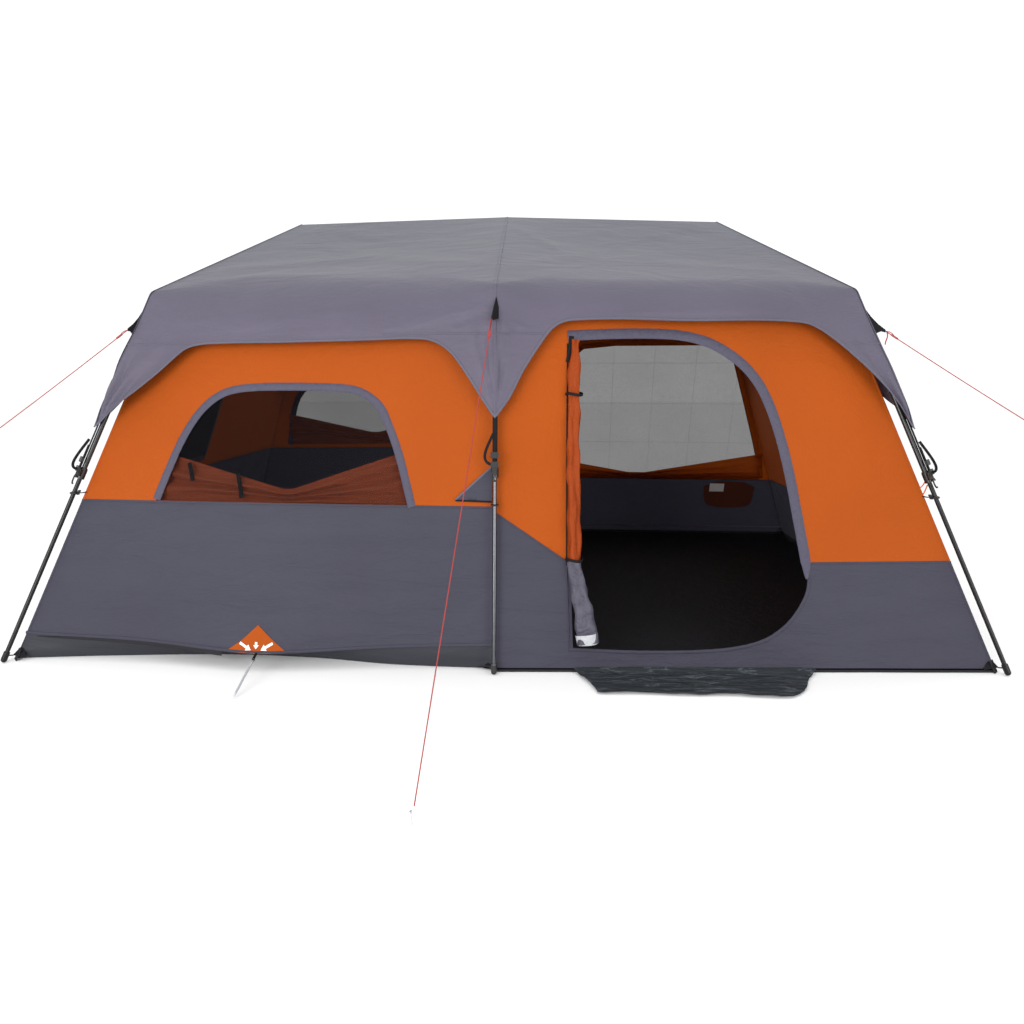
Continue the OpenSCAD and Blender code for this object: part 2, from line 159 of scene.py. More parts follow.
class Leg:
    """One leg's line, read from its joints."""

    def __init__(self, key):
        self.key = key
        self.side, self.end = LEG_SIDES[key]
        self.inward = Vector(JOINTS[f"button_{key}_press"]["axis"])
        self.up = Vector(JOINTS[f"leg_lower_{key}_slide"]["axis"])
        elbow = Vector(JOINTS[f"leg_upper_{key}_elbow"]["pos_m"])
        self.top = elbow - self.inward * PIN_OFFSET
        self.across = self.up.cross(self.inward).normalized()
        self.body = f"leg_upper_{key}"
        self.lower_body = f"leg_lower_{key}"

    def at(self, z):
        return self.top + self.up * ((z - self.top.z) / self.up.z)

    def outward(self):
        return Vector((self.side, self.end, 0))

    def wall(self, z):
        return self.at(z) - self.outward() * WALL_IN

    def skirt(self, z):
        return self.at(z) + self.outward() * SKIRT_OUT


LEGS = {key: Leg(key) for key in LEG_SIDES}
ELBOW_Z = 1.615
EAVE_Z = ELBOW_Z + FLY_GAP - 0.010
CROWN = Vector((0, 0, JOINTS[FOLD]["pos_m"][2] + FLY_GAP + 0.002))
HUB_X = abs(JOINTS["side_hub_l_level"]["pos_m"][0]) + 0.040
HUB_Z = JOINTS["side_hub_l_level"]["pos_m"][2]


def peak(side):
    return Vector((side * (HUB_X + 0.034), 0, HUB_Z + FLY_GAP + 0.002)) if side else CROWN


# ---- Materials ----
def plug(tree, socket, value):
    """Links a node's output to a socket, or sets the socket to a value."""
    if isinstance(value, bpy.types.NodeSocket):
        tree.links.new(value, socket)
    else:
        socket.default_value = value


def node(tree, kind, **inputs):
    made = tree.nodes.new(kind)
    for name, value in inputs.items():
        plug(tree, made.inputs[name.replace("_", " ")], value)
    return made


def math_node(tree, operation, first, second):
    made = tree.nodes.new("ShaderNodeMath")
    made.operation = operation
    plug(tree, made.inputs[0], first)
    plug(tree, made.inputs[1], second)
    return made.outputs[0]


def plus(tree, first, second):
    return math_node(tree, "ADD", first, second)


def times(tree, first, second):
    return math_node(tree, "MULTIPLY", first, second)


def mix_colour(tree, share, a, b):
    made = tree.nodes.new("ShaderNodeMix")
    made.data_type = "RGBA"
    for index, value in ((0, share), (6, a), (7, b)):
        plug(tree, made.inputs[index], value)
    return made.outputs[2]


def mix_shaders(tree, share, first, second):
    both = node(tree, "ShaderNodeMixShader", Fac=share)
    tree.links.new(first.outputs[0], both.inputs[1])
    tree.links.new(second.outputs[0], both.inputs[2])
    return both


def spots_of(tree, place, scale, detail, **more):
    """Noise over the object, from 0 to 1."""
    spots = node(
        tree, "ShaderNodeTexNoise", Vector=place.outputs["Object"], Scale=scale, Detail=detail, **more
    )
    return spots.outputs["Fac"]


def waves_of(tree, place, scale, direction="X"):
    """Waves across the flat pattern, from 0 to 1."""
    waves = node(tree, "ShaderNodeTexWave", Vector=place.outputs["UV"], Scale=scale)
    waves.bands_direction = direction
    return waves.outputs["Fac"]


def new_material(name):
    """An empty material: (material, its node tree, its texture coordinates)."""
    material = bpy.data.materials.new(name)
    material.use_nodes = True
    tree = material.node_tree
    tree.nodes.clear()
    return material, tree, tree.nodes.new("ShaderNodeTexCoord")


def set_surface(tree, shader):
    output = tree.nodes.new("ShaderNodeOutputMaterial")
    tree.links.new(shader.outputs[0], output.inputs["Surface"])


def shade(colour, factor):
    return tuple(min(1.0, c * factor) for c in colour) + (1.0,)


# Scales of wave textures; at scale 1 a wave is 0.314 m long
WEAVE_SCALE = 900.0 / 6.3         # threads, every 2.2 mm
CORD_SCALE = 2500.0 / 6.3         # strands of a cord, every 0.8 mm
NET_FOLD_SCALE = 6.6 / 6.3        # fold lines in the nets, every 0.30 m
THREAD_BUMP = 0.02 * 0.35         # the threads' share of the cloth's relief
CREASE_LINE = 0.017               # width of a painted crease highlight, in noise values
CREASE_HIGHLIGHT = 3.4                 # brightness of a painted crease highlight against the cloth
NET_FOLD_EDGE = 0.9988            # wave value above which a fold line shows


def cloth_material(
    name, colour, rough, glow, crinkle=0.25, crinkle_size=14.0, sheen=0.04, mottle=0.10, gloss=0.16,
    stretch=(1.0, 1.0, 1.0), ridge_sheen_colour=None, crease_highlights=0.0,
):
    """Coated tent cloth: fine weave, soft crinkles, slow shifts of colour, some light through it.

    stretch squeezes the crinkles along an axis, ridge_sheen_colour is a painted sky sheen that the
    cloth turns to toward the ridge, and crease_highlights is how strongly sharp creases show as
    painted highlight lines.
    """
    material, tree, place = new_material(name)
    slow = spots_of(tree, place, 2.4, 4.0)
    base = mix_colour(tree, slow, shade(colour, 1 - mottle), shade(colour, 1 + mottle))
    # Painted sky sheen: toward the ridge the cloth turns to a bluer colour, standing for the sky light that
    # the upper roof reflects.
    if ridge_sheen_colour:
        parts = node(tree, "ShaderNodeSeparateXYZ", Vector=place.outputs["Object"])
        height = node(
            tree, "ShaderNodeMapRange", Value=parts.outputs["Z"], From_Min=EAVE_Z - 0.10,
            From_Max=HUB_Z - 0.02,
        )
        base = mix_colour(tree, height.outputs[0], base, shade(ridge_sheen_colour, 1.0))
    threads = times(
        tree, waves_of(tree, place, WEAVE_SCALE), waves_of(tree, place, WEAVE_SCALE, "Y")
    )
    base = mix_colour(tree, times(tree, threads, 0.25), base, shade(colour, 0.8))
    squeezed = node(tree, "ShaderNodeMapping", Vector=place.outputs["Object"], Scale=stretch)
    fine = node(
        tree, "ShaderNodeTexNoise", Vector=squeezed.outputs[0], Scale=crinkle_size, Detail=6.0,
        Roughness=0.6, Distortion=0.6,
    ).outputs["Fac"]
    # Painted highlights: pale lines where the crinkle noise crosses its middle, standing for light caught
    # along sharp creases.
    if crease_highlights:
        off_middle = math_node(tree, "ABSOLUTE", math_node(tree, "SUBTRACT", fine, 0.5), 0.0)
        line = node(
            tree, "ShaderNodeMapRange", Value=off_middle, From_Min=CREASE_LINE, From_Max=0.0
        )
        share = times(tree, line.outputs[0], crease_highlights)
        base = mix_colour(tree, share, base, shade(colour, CREASE_HIGHLIGHT))
    relief = plus(tree, fine, times(tree, threads, THREAD_BUMP))
    bump = node(tree, "ShaderNodeBump", Strength=crinkle, Distance=0.02, Height=relief)
    body = node(
        tree, "ShaderNodeBsdfPrincipled", Base_Color=base, Roughness=rough, Normal=bump.outputs[0],
        Sheen_Weight=sheen, Sheen_Roughness=0.5, Specular_IOR_Level=gloss,
    )
    through = node(tree, "ShaderNodeBsdfTranslucent", Color=base, Normal=bump.outputs[0])
    set_surface(tree, mix_shaders(tree, glow, body, through))
    return material


def plain_material(
    name, colour, rough, metal=0.0, scale=60.0, bump_strength=0.05, wear=0.08, gloss=0.5
):
    """Moulded plastic or metal with fine unevenness."""
    material, tree, place = new_material(name)
    spots = spots_of(tree, place, scale, 5.0)
    base = mix_colour(tree, spots, shade(colour, 1 - wear), shade(colour, 1 + wear))
    bump = node(tree, "ShaderNodeBump", Strength=bump_strength, Distance=0.002, Height=spots)
    body = node(
        tree, "ShaderNodeBsdfPrincipled", Base_Color=base, Metallic=metal, Normal=bump.outputs[0],
        Roughness=plus(tree, rough - 0.08, times(tree, spots, 0.16)), Specular_IOR_Level=gloss,
    )
    set_surface(tree, body)
    return material


def webbing_material(name, colour, rough=0.7, rib_scale=WEAVE_SCALE):
    """Woven tape or cord: ribs across its length."""
    material, tree, place = new_material(name)
    ribs = waves_of(tree, place, rib_scale)
    base = mix_colour(tree, ribs, shade(colour, 0.75), shade(colour, 1.15))
    worn = times(tree, spots_of(tree, place, 25.0, 4.0), 0.5)
    base = mix_colour(tree, worn, base, shade(colour, 0.8))
    bump = node(tree, "ShaderNodeBump", Strength=0.4, Distance=0.001, Height=ribs)
    body = node(
        tree, "ShaderNodeBsdfPrincipled", Base_Color=base, Roughness=rough, Normal=bump.outputs[0],
        Specular_IOR_Level=0.12,
    )
    set_surface(tree, body)
    return material


def mesh_material(name, colour, cover):
    """Insect mesh: a fine net that hides a share of what is behind it."""
    material, tree, place = new_material(name)
    holes = node(tree, "ShaderNodeTexVoronoi", Vector=place.outputs["UV"], Scale=700.0)
    folds = math_node(
        tree, "MAXIMUM", waves_of(tree, place, NET_FOLD_SCALE),
        waves_of(tree, place, NET_FOLD_SCALE, "Y"),
    )
    line = math_node(tree, "GREATER_THAN", folds, NET_FOLD_EDGE)
    share = plus(tree, times(tree, holes.outputs["Distance"], 0.20), cover - 0.10)
    share = plus(tree, share, times(tree, line, 0.025))
    share = plus(tree, share, times(tree, spots_of(tree, place, 3.0, 3.0), 0.04))
    body = node(
        tree, "ShaderNodeBsdfPrincipled", Base_Color=shade(colour, 1.0), Roughness=0.9,
        Specular_IOR_Level=0.0,
    )
    clear = tree.nodes.new("ShaderNodeBsdfTransparent")
    set_surface(tree, mix_shaders(tree, share, clear, body))
    return material


# The fly's bluer colour toward the ridge is a painted sky sheen.
FLY_CLOTH = cloth_material("fly_purple_grey", (0.086, 0.077, 0.108), rough=0.50, glow=0.06,
                           crinkle=0.50, crinkle_size=6.0, sheen=0.10, mottle=0.13,
                           stretch=(0.6, 1.0, 1.8), ridge_sheen_colour=(0.084, 0.089, 0.112))
ORANGE_CLOTH = cloth_material("wall_orange", (0.312, 0.0575, 0.0036), rough=0.66, glow=0.10,
                              crinkle=0.50, crinkle_size=5.0, gloss=0.10)
GREY_CLOTH = cloth_material("wall_grey", (0.0420, 0.0410, 0.0590), rough=0.58, glow=0.13,
                            crinkle=0.85, crinkle_size=4.5, mottle=0.13, stretch=(0.6, 1.0, 2.4))
BINDING_CLOTH = cloth_material("binding_grey", (0.064, 0.060, 0.088), rough=0.60, glow=0.02,
                               crinkle=0.5, crinkle_size=45.0)
PIPING_CLOTH = cloth_material("piping_grey", (0.088, 0.084, 0.112), rough=0.60, glow=0.0,
                              crinkle=0.3, crinkle_size=60.0)
# A shaded copy of the orange cloth: darker, painted for the shade on the window flaps inside the tent.
INNER_SHADED_CLOTH = cloth_material("inner_flap_orange_painted_shade", (0.205, 0.038, 0.010), rough=0.65, glow=0.10,
                             crinkle=1.0, crinkle_size=12.0, gloss=0.25, stretch=(0.5, 1.0, 2.4))
FLOOR_CLOTH = cloth_material("floor_black", (0.012, 0.012, 0.014), rough=0.60, glow=0.0,
                             crinkle=0.35, crinkle_size=9.0, sheen=0.0)
TUB_CLOTH = cloth_material("tub_grey", (0.028, 0.029, 0.036), rough=0.55, glow=0.0,
                           crinkle=0.40, crinkle_size=7.0, sheen=0.0, stretch=(0.5, 1.0, 2.0))
# The mat's pale crease lines are painted highlights.
MAT_CLOTH = cloth_material("mat_charcoal", (0.027, 0.031, 0.035), rough=0.40, glow=0.0,
                           crinkle=1.0, crinkle_size=10.0, sheen=0.0, stretch=(0.45, 2.6, 1.0),
                           crease_highlights=1.0)
# A lit copy of the inner flap cloth: brighter, painted for the light that comes through the back right flap
# from behind.
LIT_CLOTH = cloth_material("back_flap_orange_painted_backlight", (0.430, 0.082, 0.010), rough=0.70, glow=0.70,
                           crinkle=0.5, crinkle_size=12.0)
# A shaded copy of the wall orange: darker, painted for the shade in the rolled door's folds.
ROLL_ORANGE_SHADED = cloth_material("rolled_orange_painted_shade", (0.235, 0.036, 0.004), rough=0.55, glow=0.03,
                             crinkle=1.0, crinkle_size=20.0, gloss=0.12, sheen=0.0,
                             stretch=(1.0, 1.0, 0.5))
ROLL_GREY = cloth_material("rolled_grey", (0.048, 0.045, 0.066), rough=0.42, glow=0.0,
                           crinkle=1.0, crinkle_size=18.0, gloss=0.4, mottle=0.3)
SHADE_CLOTH = cloth_material("side_flap_grey", (0.030, 0.030, 0.034), rough=0.7, glow=0.0)
POCKET_CLOTH = cloth_material("pocket_brown", (0.085, 0.022, 0.012), rough=0.75, glow=0.0)
LABEL_CLOTH = cloth_material("label_pale", (0.62, 0.62, 0.62), rough=0.7, glow=0.0)
SILVER_CLOTH = cloth_material("coating_silver", (0.42, 0.43, 0.45), rough=0.35, glow=0.0,
                              crinkle=0.6, crinkle_size=60.0)
ARROW_PRINT = cloth_material("print_white", (0.86, 0.86, 0.84), rough=0.6, glow=0.0)
WEBBING = webbing_material("webbing_black", (0.008, 0.008, 0.009))
ELASTIC = webbing_material("elastic_orange", (0.62, 0.13, 0.03))
NET = mesh_material("insect_net", (0.006, 0.006, 0.007), 0.34)
BACK_NET = mesh_material("insect_net_back", (0.035, 0.036, 0.036), 0.765)
HARD_BLACK = plain_material("plastic_black", (0.009, 0.009, 0.010), rough=0.42, gloss=0.3)
STEEL = plain_material("steel_bright", (0.50, 0.52, 0.54), rough=0.40, metal=0.35)
CORD_RED = webbing_material("cord_coral", (0.33, 0.050, 0.044), rough=0.6, rib_scale=CORD_SCALE)
TUBE_BLACK = plain_material("tube_black", (0.009, 0.009, 0.010), rough=0.25, scale=25.0, gloss=0.4)


# ---- Mesh builders ----
def build(name, points, faces, uvs, material, smooth_shading=True):
    """A mesh object in the scene; its UVs are its flat pattern, in metres."""
    mesh = bpy.data.meshes.new(name)
    mesh.from_pydata([tuple(p) for p in points], [], faces)
    if uvs:
        layer = mesh.uv_layers.new(name="flat_pattern")
        for loop in mesh.loops:
            layer.data[loop.index].uv = uvs[loop.vertex_index]
    mesh.materials.append(material)
    if smooth_shading:
        mesh.polygons.foreach_set("use_smooth", [True] * len(mesh.polygons))
    made = bpy.data.objects.new(name, mesh)
    bpy.context.scene.collection.objects.link(made)
    return made


def grid_object(name, rows, uvs, material, normals=None):
    """A sheet through rows of points; every row has as many points."""
    height, width = len(rows), len(rows[0])
    faces = [
        (i * width + j, (i + 1) * width + j, (i + 1) * width + j + 1, i * width + j + 1)
        for i in range(height - 1)
        for j in range(width - 1)
    ]
    points = [p for row in rows for p in row]
    made = build(name, points, faces, [tuple(p) for row in uvs for p in row], material)
    if normals is not None:
        made.data.normals_split_custom_set_from_vertices([tuple(n) for row in normals for n in row])
    return made


def row_lengths(rows):
    """Flat pattern coordinates of a grid: distance along each row from its middle, and down each column."""
    middle = len(rows[0]) // 2
    down = [0.0] * len(rows[0])
    uvs = []
    for i, row in enumerate(rows):
        if i:
            down = [d + (p - q).length for d, p, q in zip(down, row, rows[i - 1])]
        steps = [0.0]
        for a, b in zip(row, row[1:]):
            steps.append(steps[-1] + (b - a).length)
        uvs.append([(s - steps[middle], d) for s, d in zip(steps, down)])
    return uvs


def strip_object(name, path, normals, width, material, height=0.002, edge=0.35):
    """A narrow band of cloth along a path, raised a little in its middle and turned down at its edges."""
    count = len(path)
    profile = [(-0.5, -0.6), (-0.5 + edge * 0.3, 0.6), (0.0, 1.0), (0.5 - edge * 0.3, 0.6), (0.5, -0.6)]
    points, uvs, faces = [], [], []
    run = 0.0
    for i in range(count):
        along = (path[min(i + 1, count - 1)] - path[max(i - 1, 0)]).normalized()
        side = normals[i].cross(along).normalized()
        if i:
            run += (path[i] - path[i - 1]).length
        wide = width(i / (count - 1)) if callable(width) else width
        for across, lift in profile:
            points.append(path[i] + side * across * wide + normals[i] * lift * height)
            uvs.append((run, across * wide))
    lines = len(profile)
    for i in range(count - 1):
        for k in range(i * lines, i * lines + lines - 1):
            faces.append((k, k + 1, k + lines + 1, k + lines))
    return build(name, points, faces, uvs, material)


def tube_object(name, path, radius, material, sides=8, caps=True):
    """A round cord or rod along a path. radius is a number or a function of the share along it."""
    count = len(path)
    points, uvs, faces = [], [], []
    side = None
    run = 0.0
    for i in range(count):
        along = (path[min(i + 1, count - 1)] - path[max(i - 1, 0)]).normalized()
        if side is None:
            side = along.orthogonal().normalized()
        side = (side - along * side.dot(along)).normalized()
        other = along.cross(side)
        if i:
            run += (path[i] - path[i - 1]).length
        r = radius(i / (count - 1)) if callable(radius) else radius
        for k in range(sides):
            angle = 2 * math.pi * k / sides
            points.append(path[i] + (side * math.cos(angle) + other * math.sin(angle)) * r)
            uvs.append((run, r * angle))
    for i in range(count - 1):
        for k in range(sides):
            n = (k + 1) % sides
            faces.append((i * sides + k, i * sides + n, (i + 1) * sides + n, (i + 1) * sides + k))
    if caps:
        faces.append(tuple(reversed(range(sides))))
        faces.append(tuple((count - 1) * sides + k for k in range(sides)))
    return build(name, points, faces, uvs, material)


def inside(point, outline):
    """Whether a flat point is inside an outline."""
    x, y = point
    hit = False
    for i in range(len(outline)):
        x0, y0 = outline[i - 1]
        x1, y1 = outline[i]
        if (y0 > y) != (y1 > y) and x < x0 + (y - y0) / (y1 - y0) * (x1 - x0):
            hit = not hit
    return hit


def filled_object(name, outline, holes, step, place, material):
    """A sheet that fills an outline but for its holes. place turns a flat point into a point in space."""
    loops = [spaced([Vector(p) for p in line], step, True) for line in [outline] + list(holes)]
    points, edges = [], []
    for loop in loops:
        first = len(points)
        points += loop
        edges += [(first + i, first + (i + 1) % len(loop)) for i in range(len(loop))]
    border = np.array([tuple(p) for p in points])
    low, high = border.min(axis=0), border.max(axis=0)
    flats = [[tuple(p) for p in loop] for loop in loops]
    row = 0
    y = low[1] + step * 0.5
    while y < high[1]:
        x = low[0] + step * (0.5 if row % 2 else 1.0)
        while x < high[0]:
            near = np.min(np.hypot(border[:, 0] - x, border[:, 1] - y))
            kept = inside((x, y), flats[0]) and not any(inside((x, y), hole) for hole in flats[1:])
            if near > step * 0.45 and kept:
                points.append(Vector((x, y)))
            x += step
        y += step * 0.87
        row += 1
    spots, _, triangles, _, _, _ = geometry.delaunay_2d_cdt(points, edges, [], 0, 1e-6)
    kept = []
    for a, b, c in triangles:
        middle = (spots[a] + spots[b] + spots[c]) / 3
        if inside(middle, flats[0]) and not any(inside(middle, hole) for hole in flats[1:]):
            kept.append((a, b, c))
    return build(name, [place(p[0], p[1]) for p in spots], kept, [tuple(p) for p in spots], material)


def slab_object(name, outline, place, thick, material):
    """A thin solid piece: a flat outline, given its thickness by place(x, y, out)."""
    count = len(outline)
    points = [place(x, y, 0.0) for x, y in outline] + [place(x, y, thick) for x, y in outline]
    faces = [tuple(reversed(range(count))), tuple(range(count, 2 * count))]
    faces += [(i, (i + 1) % count, count + (i + 1) % count, count + i) for i in range(count)]
    return build(name, points, faces, [tuple(p) for p in outline] * 2, material, False)


# ---- Folding: what each piece rides when the frame folds ----
FRONT_MIDDLE = (0, -1.38, 0.8)
BACK_MIDDLE = (0, 1.38, 0.8)


class Fold:
    """What a piece of cloth rides, with the axis and anchor of its fold."""

    def __init__(self, body, axis, anchor):
        self.body, self.axis, self.anchor = body, axis, tuple(anchor)

    def __call__(self, piece):
        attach(piece, self.body)
        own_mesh(piece)
        return piece


with_front = Fold("leg_upper_fc", (1, 0, 0), FRONT_MIDDLE)
with_back = Fold("leg_upper_bc", (1, 0, 0), BACK_MIDDLE)


def with_leg(key):
    """Side cloth rides its upper leg, with a fold axis along the wall and square to the leg."""
    up = LEGS[key].up
    along = (Vector((0, 1, 0)) - up * up.y).normalized()
    return Fold(f"leg_upper_{key}", along, LEGS[key].at(0.8))


LEAST_SHARE = 0.31    # a cut that fills less of its rectangle gets twice its mean length as its length


def declare_cloth(piece):
    """Works out a piece's pattern sides and its cloth's area; nothing is kept."""
    spots = np.array([tuple(loop.uv) for loop in piece.data.uv_layers["flat_pattern"].data])
    width, length = (float(side) for side in spots.max(axis=0) - spots.min(axis=0))
    area = sum(face.area for face in piece.data.polygons)
    if area < LEAST_SHARE * width * length:
        length = 2 * area / width


def with_arm(part, key):
    joint = JOINTS[f"arm_inner_{key}_fold"]
    return Fold(f"arm_{part}_{key}", joint["axis"], joint["pos_m"])


def beside_arm(part, key):
    """Side roof cloth rides its arm, with a fold axis within its own slope and square to the arm."""
    leg = LEGS[key]
    corner = leg.skirt(EAVE_Z)
    run = (corner - peak(leg.side)).normalized()
    toward = Vector((corner.x, 0, EAVE_Z)) - peak(leg.side)
    across = (toward - run * toward.dot(run)).normalized()
    return Fold(f"arm_{part}_{key}", across, JOINTS[f"arm_inner_{key}_fold"]["pos_m"])


# ---- Fly: one sheet over the roof, round the eave and down to the arched hem ----
CORNER_TIP_Z, CENTRE_TIP_Z = 1.035, 1.092
HEM_LEFT = [(0, CORNER_TIP_Z), (0.045, 1.13), (0.092, 1.22), (0.14, 1.325), (0.168, 1.38), (0.205, 1.402),
            (0.26, 1.408), (0.454, 1.412), (0.70, 1.42), (0.785, 1.423), (0.84, 1.413),
            (0.888, 1.365), (0.932, 1.27), (0.968, 1.175), (1, CENTRE_TIP_Z)]
HEM_DOOR = [(0, CENTRE_TIP_Z), (0.033, 1.174), (0.066, 1.283), (0.109, 1.393), (0.141, 1.46),
            (0.175, 1.492), (0.22, 1.501), (0.5, 1.501), (0.784, 1.5), (0.83, 1.488),
            (0.871, 1.444), (0.92, 1.35), (0.964, 1.218), (1, CORNER_TIP_Z)]
HEM_BACK_RIGHT = [(0, CORNER_TIP_Z), (0.010, 1.12), (0.020, 1.25), (0.034, 1.38), (0.052, 1.465),
                  (0.085, 1.510), (0.14, 1.516), (0.5, 1.516), (0.80, 1.512), (0.85, 1.47),
                  (0.888, 1.385), (0.932, 1.27), (0.968, 1.175), (1, CENTRE_TIP_Z)]
HEM_SIDE = [(0, CORNER_TIP_Z), (0.05, 1.13), (0.1, 1.23), (0.15, 1.33), (0.18, 1.385), (0.22, 1.405),
            (0.5, 1.412), (0.78, 1.405), (0.82, 1.385), (0.85, 1.33), (0.9, 1.23), (0.95, 1.13),
            (1, CORNER_TIP_Z)]


def turned(points):
    """A hem seen from its other end."""
    return [(1 - k, z) for k, z in reversed(points)]


FLY_SPANS = [
    ("fl", "fc", HEM_LEFT), ("fc", "fr", HEM_DOOR), ("fr", "br", HEM_SIDE),
    ("br", "bc", HEM_BACK_RIGHT), ("bc", "bl", turned(HEM_LEFT)), ("bl", "fl", HEM_SIDE),
]
SPAN_COLUMNS = 110
ROOF_ROWS = 22
EAVE_ROWS = 12
SKIRT_ROWS = 22
EAVE_TIGHT = 0.018     # the fly rounds the eave over this length at a leg
EAVE_SOFT = 0.23       # and over this much more between legs
TIP_FOLDS = 26.0       # the tip folds' waves come every 2 pi / 26 radians round the tip
TIP_FOLD_DEPTH = 0.015
CENTRE_FOLD_DEPTH = 0.010
TIP_FOLDS_REACH = 0.62
ROOF_SAG = 0.022
EAVE_IN = 0.006        # between legs the eave draws in this far
HEM_OUT = 0.010        # and the hem stands out this far
FOLDS_RISE = 0.14      # the tip folds are deepest this far from the tip
FOLDS_FADE = 0.46      # and have faded this much further on


def span_share(i):
    """Shares along a span, closer together near its ends."""
    t = i / SPAN_COLUMNS
    return 0.45 * t + 0.55 * 0.5 * (1 - math.cos(math.pi * t))


def creases(seed, along, down):
    """Long soft creases that lean across a roof face, in metres."""
    slanted = ripple(seed, along * 1.1 + down * 1.4, down * 7.0 - along * 2.4)
    return 0.0035 * slanted * abs(slanted) * 2


# Sharp creases on the front of the fly, mirrored on its back: start, end, width, height.
# Ends are (x, y) on the roof and (x, z) on the skirt.
ROOF_CREASES = [
    ((-1.10, -0.06), (-0.62, -0.30), 0.030, 0.0055), ((-1.12, -0.10), (-0.80, -0.55), 0.030, 0.0055),
    ((-1.40, -0.75), (-0.55, -0.62), 0.045, 0.0070), ((-1.50, -0.90), (-0.70, -0.95), 0.035, 0.0050),
    ((-0.05, -0.95), (-0.55, -0.70), 0.040, 0.0050), ((0.05, -0.95), (0.50, -0.62), 0.040, 0.0050),
    ((1.10, -0.06), (0.70, -0.35), 0.030, 0.0050), ((1.45, -0.85), (0.75, -0.72), 0.040, 0.0050),
    ((0.04, -0.25), (0.30, -0.60), 0.035, 0.0045),
]
SKIRT_CREASES = [
    ((-1.30, 1.470), (-0.55, 1.565), 0.022, 0.0110), ((-1.45, 1.500), (-1.00, 1.550), 0.018, 0.0090),
    ((-0.50, 1.460), (-0.03, 1.550), 0.018, 0.0090), ((-0.18, 1.450), (-0.015, 1.505), 0.012, 0.0080),
    ((-0.11, 1.425), (-0.012, 1.490), 0.012, 0.0080), ((0.15, 1.450), (0.015, 1.505), 0.012, 0.0080),
    ((0.09, 1.420), (0.012, 1.490), 0.012, 0.0080), ((0.50, 1.525), (1.25, 1.560), 0.022, 0.0090),
    ((-0.030, 1.200), (-0.010, 1.500), 0.010, 0.0090), ((0.026, 1.220), (0.010, 1.500), 0.010, -0.0090),
]


def crease_height(lines, a, b):
    """Height at (a, b) of creases that fade at their ends."""
    total = 0.0
    for start, end, width, height in lines:
        run = (end[0] - start[0], end[1] - start[1])
        share = ((a - start[0]) * run[0] + (b - start[1]) * run[1]) / (run[0] ** 2 + run[1] ** 2)
        share = min(1.0, max(0.0, share))
        away = math.hypot(a - start[0] - run[0] * share, b - start[1] - run[1] * share)
        if away < 3 * width:
            total += height * math.exp(-(away / width) ** 2) * math.sin(math.pi * share) ** 0.5
    return total


def fly_column(first, second, hem, k):
    """Points from the ridge to the hem at share k of the way between two legs, at rest."""
    a, b = LEGS[first], LEGS[second]
    ridge = lerp(peak(a.side), peak(b.side), k)
    middle = math.sin(math.pi * k)
    outward = (a.outward() + b.outward()) / 2
    outward = Vector((0, outward.y, 0)) if abs(a.side - b.side) else Vector((outward.x, 0, 0))
    eave = lerp(a.skirt(EAVE_Z), b.skirt(EAVE_Z), k) - outward.normalized() * EAVE_IN * middle
    bottom_z = ease_through(hem, k)
    bottom = lerp(a.skirt(bottom_z), b.skirt(bottom_z), k) + outward.normalized() * HEM_OUT * middle
    drop = (bottom - eave).length
    soft = min(EAVE_TIGHT + EAVE_SOFT * middle**0.8, 0.8 * drop)
    turn_in = eave + (ridge - eave).normalized() * soft
    turn_out = eave + (bottom - eave).normalized() * soft
    points = []
    for i in range(ROOF_ROWS):
        t = i / ROOF_ROWS
        sag = ROOF_SAG * middle * math.sin(math.pi * t)
        points.append(lerp(ridge, turn_in, t) - UP * sag)
    for i in range(EAVE_ROWS):
        t = i / EAVE_ROWS
        points.append(turn_in * (1 - t) ** 2 + eave * 2 * t * (1 - t) + turn_out * t * t)
    for i in range(SKIRT_ROWS + 1):
        points.append(lerp(turn_out, bottom, i / SKIRT_ROWS))
    return points


def grid_normals(grid):
    """Normals of a grid of points that closes on itself sideways, pointing outward."""
    across = np.roll(grid, -1, axis=1) - np.roll(grid, 1, axis=1)
    down = np.empty_like(grid)
    down[1:-1] = grid[2:] - grid[:-2]
    down[0] = grid[1] - grid[0]
    down[-1] = grid[-1] - grid[-2]
    normals = np.cross(down, across)
    lengths = np.linalg.norm(normals, axis=2, keepdims=True)
    return normals / np.maximum(lengths, 1e-9)


def tip_folds(point, leg, seed):
    """Depth of the folds that gather into a leg's tip."""
    tip = leg.skirt(CORNER_TIP_Z if leg.side else CENTRE_TIP_Z)
    offset = Vector(point) - tip
    height = offset.dot(leg.up)
    beside = (offset - leg.up * height).length
    away = math.hypot(height, beside)
    if away > TIP_FOLDS_REACH or height < -0.01:
        return 0.0
    angle = math.atan2(beside, max(height, 0.001))
    depth = smooth(away / FOLDS_RISE) * (1 - smooth((away - FOLDS_RISE) / FOLDS_FADE))
    wobble = 1.1 * ripple(seed, angle * 2.0, away * 4.0)
    deep = TIP_FOLD_DEPTH if leg.side else CENTRE_FOLD_DEPTH * (1 - smooth(angle / 0.45))
    return deep * depth * (0.5 + 0.7 * math.sin(TIP_FOLDS * angle + wobble * 2))


